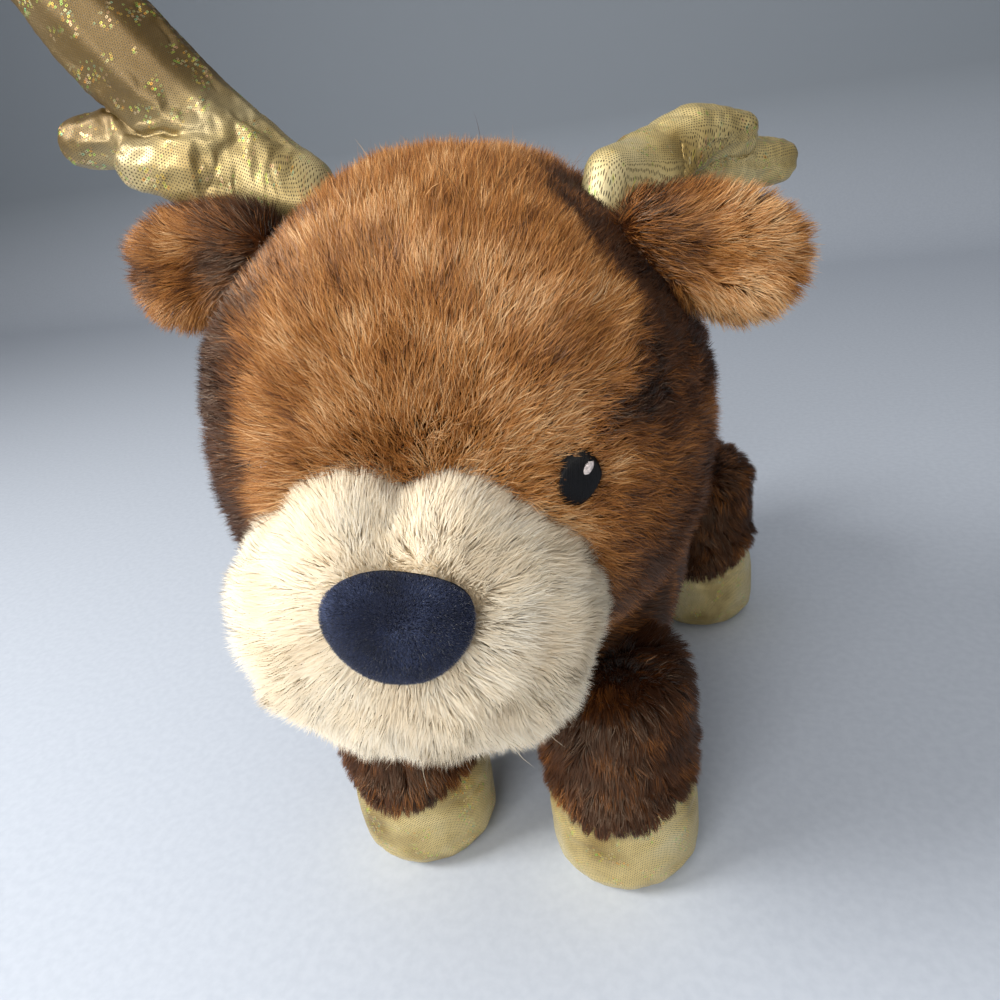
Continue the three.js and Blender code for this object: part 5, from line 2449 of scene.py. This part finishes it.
@dataclass
class Hooves:
    """The four hooves of gold cloth, each a stuffed cup with a round sole sewn in under it.

    Attributes:
        pattern: The toy's forms.
        stuffing: How a cup is stuffed.
        sides: How many sides a ring has.
        gather: How far the cup is gathered above its sole.
        dart: How deep its darts are.
        ripple: How far the sole's edge ripples.
        CUP: The cup's outline, in radii and heights in millimetres, and SOLE the sole's.
        DARTS: Where the darts are, in radians.
    """

    pattern: Pattern
    stuffing: Stuffing = Stuffing(growth=0.03, cap=1.6 * MM)
    sides: int = 84
    gather: float = 0.35 * MM
    dart: float = 0.9 * MM
    ripple: float = 0.15 * MM

    CUP = ((8, 1.5), (20.5, 1.5), (22.6, 1.2), (25.6, 1.8), (28.4, 4.6), (30.3, 9.0), (31.0, 15), (31.1, 37),
           (29.3, 44), (26.4, 49.4), (20, 49.6), (8, 49.6))
    SOLE = ((3, 1.6), (20, 1.6), (22.3, 1.3), (22.6, 0.8), (21.8, 0.25), (19.5, 0.0), (3, 0.0))
    DARTS = (math.pi - 0.55, math.pi + 0.5, 0.3, 5.0)

    def make(self) -> list[Piece]:
        """Makes the hooves and their soles.

        Returns:
            The pieces.
        """
        pieces = []
        cup = self._cup()
        for index, (name, place) in enumerate(self.pattern.legs()):
            pieces += [self._worn(cup, name, place), self._sole(name, place, index)]
        discard(cup)
        return pieces

    def _worn(self, cup: Piece, name: str, place: np.ndarray) -> Piece:
        """Puts a copy of the cup under one leg.

        Args:
            cup: The cup.
            name: The leg's name.
            place: Where the leg stands.

        Returns:
            The leg's cup.
        """
        worn = place_piece(f"{name}_hoof_cup", cup.data.copy())
        worn.data.transform(Matrix.Translation(place))
        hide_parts(f"{name}_hoof_cover")
        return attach(worn, "toy")

    def _rings(self, path: list[tuple[float, float]], steps: int) -> tuple[np.ndarray, np.ndarray]:
        """The radii and heights of a path's rings, one column to a side. The path is in millimetres."""
        even = along_path([(radius * MM, height * MM) for radius, height in path], steps)
        return np.repeat(even[:, :1], self.sides, axis=1), np.repeat(even[:, 1:], self.sides, axis=1)

    def _cup(self) -> Piece:
        """A hoof's cup at the origin, gathered a little where it is sewn to the sole.

        Returns:
            The cup.
        """
        turn = around(self.sides)
        radius, height = self._rings(self.CUP, 46)
        low = bump_at(height, 5 * MM, 5 * MM) * (radius > 24 * MM)
        radius = radius + self.gather * low * (np.sin(11 * turn) * 0.5 + np.sin(17 * turn + 2.1) * 0.35)
        for spot in self.DARTS:
            dart = self.dart * bump_at(turn, spot, 0.05) * bump_at(height, 8 * MM, 4 * MM)
            radius = radius - dart * (radius > 24 * MM)
        cup = make_object("hoof_cup", *turned(radius, height, np.zeros(3)))
        rise = read_points(cup.data)[:, 2]
        held = np.maximum(1 - smooth(rise, 2 * MM, 9 * MM), smooth(rise, 38 * MM, 46 * MM))
        self.stuffing.swell(cup, np.maximum(held, 0.02))
        split_squares(cup)
        middle = np.array([tuple(face.center) for face in cup.data.polygons])
        up = read_facing(cup.data)[:, 2]
        lay_cloth(cup, np.where(up < -0.8, 2, np.where(up > 0.8, 3, middle[:, 1] > 0)))
        cup.data.materials.append(GOLD_FOIL.make())
        return cup

    def _sole(self, name: str, place: np.ndarray, index: int) -> Piece:
        """The round sole, flat where the toy stands on it and rolled under at its seam.

        Args:
            name: The leg's name.
            place: Where the leg stands.
            index: Which leg.

        Returns:
            The sole.
        """
        radius, height = self._rings(self.SOLE, 26)
        radius, height = radius[::-1], height[::-1]
        rim = smooth(radius, 17 * MM, 22 * MM)
        radius = radius + self.ripple * rim * np.sin(24 * around(self.sides) + index)
        sole = make_object(f"{name}_hoof_sole_cloth", *turned(radius, height, place))
        fix_outside(sole)
        lay_cloth(sole, read_facing(sole.data)[:, 2] > 0)
        sole.data.materials.append(GOLD_FOIL.make())
        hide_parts(f"{name}_hoof_sole")
        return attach(sole, "toy")


def thread(name: str, colour: tuple, roughness: float, gloss: float) -> Mottle:
    """Embroidery thread with a silky line along it."""
    return Mottle(name, (0.35, shade(colour, 0.7)), (0.65, shade(colour, 1.35)), (1500.0, 2.0), (0.3, 0.0003),
                  roughness, gloss)


def fill_with(wadding: Mottle) -> None:
    """Gives every packed filling, which the covers hide, the look of its fibre.

    Args:
        wadding: The fibre's finish.
    """
    for name, filling in frame["nodes"].items():
        if name.endswith("_stuffing"):
            filling.data.materials.clear()
            filling.data.materials.append(wadding.make())


NAVY_VELOUR = FurFinish(
    "navy_velour_blades", glow=(0.8, 0.88, 1.0), root=linear(12, 15, 30), deep=linear(16, 22, 44),
    middle=linear(25, 34, 64), bright=linear(42, 54, 90), tip=linear(94, 108, 148),
    roughness=0.7, gloss=0.3, sheen=0.4)
BLACK_THREAD = thread("black_satin", linear(5, 5, 8), 0.42, 0.2)
PALE_THREAD = thread("pale_satin", linear(196, 186, 184), 0.5, 0.5)
GOLD_FOIL = FoilCloth()
WADDING = Mottle("wadding", (0.3, (0.72, 0.72, 0.7)), (0.7, (0.93, 0.93, 0.92)), (180.0, 6.0), (0.7, 0.001))


# Light, floor and camera


@dataclass(frozen=True)
class Studio:
    """The floor, the lamps and the photograph's viewpoint.

    Attributes:
        eye: The camera's place in the toy's frame, in metres.
        yaw: Its turn to the left, in degrees.
        pitch: Its tilt down, in degrees.
        roll: Its roll, in degrees.
        lens: Its focal length on a 36 mm sensor.
        sky: The colour of the room's plain light.
        FLOOR: The floor's two colours, which meet the WALL's higher up.
        LAMPS: Each lamp's name, place, aim, size, power and colour.
    """

    eye: tuple = (96.7 * MM, -311.4 * MM, 300.0 * MM)
    yaw: float = 18.3
    pitch: float = 24.6
    roll: float = -8.3
    lens: float = 28.79
    sky: tuple = (0.93, 0.92, 0.9)
    sky_strength: float = 0.31

    FLOOR = [(0.35, (0.53, 0.585, 0.68)), (0.65, (0.57, 0.625, 0.72))]
    WALL = (0.28, 0.315, 0.36)
    LAMPS = (
        ("window", (-0.92, -0.66, 0.96), (0.0, 0.0, 0.18), 0.5, 17.6, (1.0, 0.975, 0.93)),
        ("ceiling", (0.0, -0.1, 1.5), (0.0, 0.0, 0.2), 1.1, 3.0, (1.0, 0.985, 0.97)),
        ("front", (-0.1, -1.1, 0.62), (0.0, 0.0, 0.15), 0.7, 8.9, (1.0, 0.975, 0.94)),
    )

    def camera(self, origin: np.ndarray) -> None:
        """Stands the camera where the photograph was taken.

        Args:
            origin: The toy's origin in the frame.
        """
        yaw, pitch, roll = (math.radians(a) for a in (self.yaw, self.pitch, self.roll))
        ahead = Vector((-math.sin(yaw) * math.cos(pitch), math.cos(yaw) * math.cos(pitch), -math.sin(pitch)))
        right = Vector((math.cos(yaw), math.sin(yaw), 0.0))
        up = right.cross(ahead)
        across = math.cos(roll) * right + math.sin(roll) * up
        top = -math.sin(roll) * right + math.cos(roll) * up
        data = bpy.data.cameras.new("view")
        data.lens = self.lens
        data.sensor_width = 36.0
        data.clip_start = 0.01
        camera = place_piece("view", data)
        turn = Matrix((across, top, -ahead)).transposed().to_4x4()
        camera.matrix_world = Matrix.Translation(Vector(self.eye) + Vector(origin)) @ turn
        bpy.context.scene.camera = camera

    def lamp(self, name: str, place: tuple, aim: tuple, size: float, power: float, colour: tuple) -> None:
        """Adds a soft square lamp.

        Args:
            name: The lamp's name.
            place: Where it stands.
            aim: What it points at.
            size: Its side.
            power: Its power in watts.
            colour: Its colour.
        """
        data = bpy.data.lights.new(name, "AREA")
        data.size, data.energy, data.color = size, power, colour
        lamp = place_piece(name, data)
        lamp.location = place
        lamp.rotation_euler = (Vector(aim) - Vector(place)).to_track_quat("-Z", "Y").to_euler()

    def world(self) -> None:
        """Fills the room with a plain light."""
        world = bpy.data.worlds.new("room")
        world.use_nodes = True
        shader = world.node_tree.nodes["Background"]
        shader.inputs["Color"].default_value = (*self.sky, 1.0)
        shader.inputs["Strength"].default_value = self.sky_strength
        bpy.context.scene.world = world

    def floor(self) -> None:
        """Lays a pale floor that curves up into a backdrop."""
        width, front, back, height, bend = 6.0, -2.0, 1.6, 1.8, 0.35
        outline = [(front, 0.0)]
        for step in range(9):
            turn = step / 8 * math.pi / 2
            outline.append((back - bend + bend * math.sin(turn), bend - bend * math.cos(turn)))
        outline.append((back, height))
        points = np.array([(x, y, z) for y, z in outline for x in (-width, width)])
        faces = [[2 * i, 2 * i + 1, 2 * i + 3, 2 * i + 2] for i in range(len(outline) - 1)]
        floor = make_object("floor", points, faces)
        cloth = Surface("floor")
        place = cloth.place()
        colour = cloth.ramp(cloth.noise(place, 220.0, 4.0).outputs[0], self.FLOOR)
        wall = cloth.clamped(cloth.maths("DIVIDE", cloth.split(place)[2], 0.3))
        cloth.paint(Base_Color=cloth.mixed(wall, colour, self.WALL), Roughness=0.7)
        floor.data.materials.append(cloth.material)

    def build(self, origin: np.ndarray) -> None:
        """Builds the whole studio.

        Args:
            origin: The toy's origin in the frame.
        """
        bpy.context.scene.view_settings.view_transform = "Standard"
        self.camera(origin)
        self.world()
        self.floor()
        for lamp in self.LAMPS:
            self.lamp(*lamp)


def main() -> None:
    """Builds every piece in order and reports it."""
    logging.basicConfig(level=logging.INFO, format="%(message)s")
    noise.seed_set(NOISE_SEED)  # Blender seeds it by the clock, and every run has to look the same.
    pattern = Pattern.laid_out()
    Studio().build(pattern.origin)
    furrier = Furrier(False)
    satin = SatinTree()
    makers = [HeadCover(pattern, furrier), Nose(pattern, furrier),
              *(Eye(pattern, side, satin) for side in Side), Ears(pattern, furrier),
              *(Antler(pattern, side) for side in Side), Hooves(pattern), Trunks(pattern, furrier)]
    triangles = 0
    for maker in makers:
        for piece in maker.make():
            piece.data.calc_loop_triangles()
            triangles += len(piece.data.loop_triangles)
            log.info("%s: %d triangles", piece.name, len(piece.data.loop_triangles))
    fill_with(WADDING)
    log.info("all pieces: %d triangles", triangles)


if __name__ == "__main__":
    main()
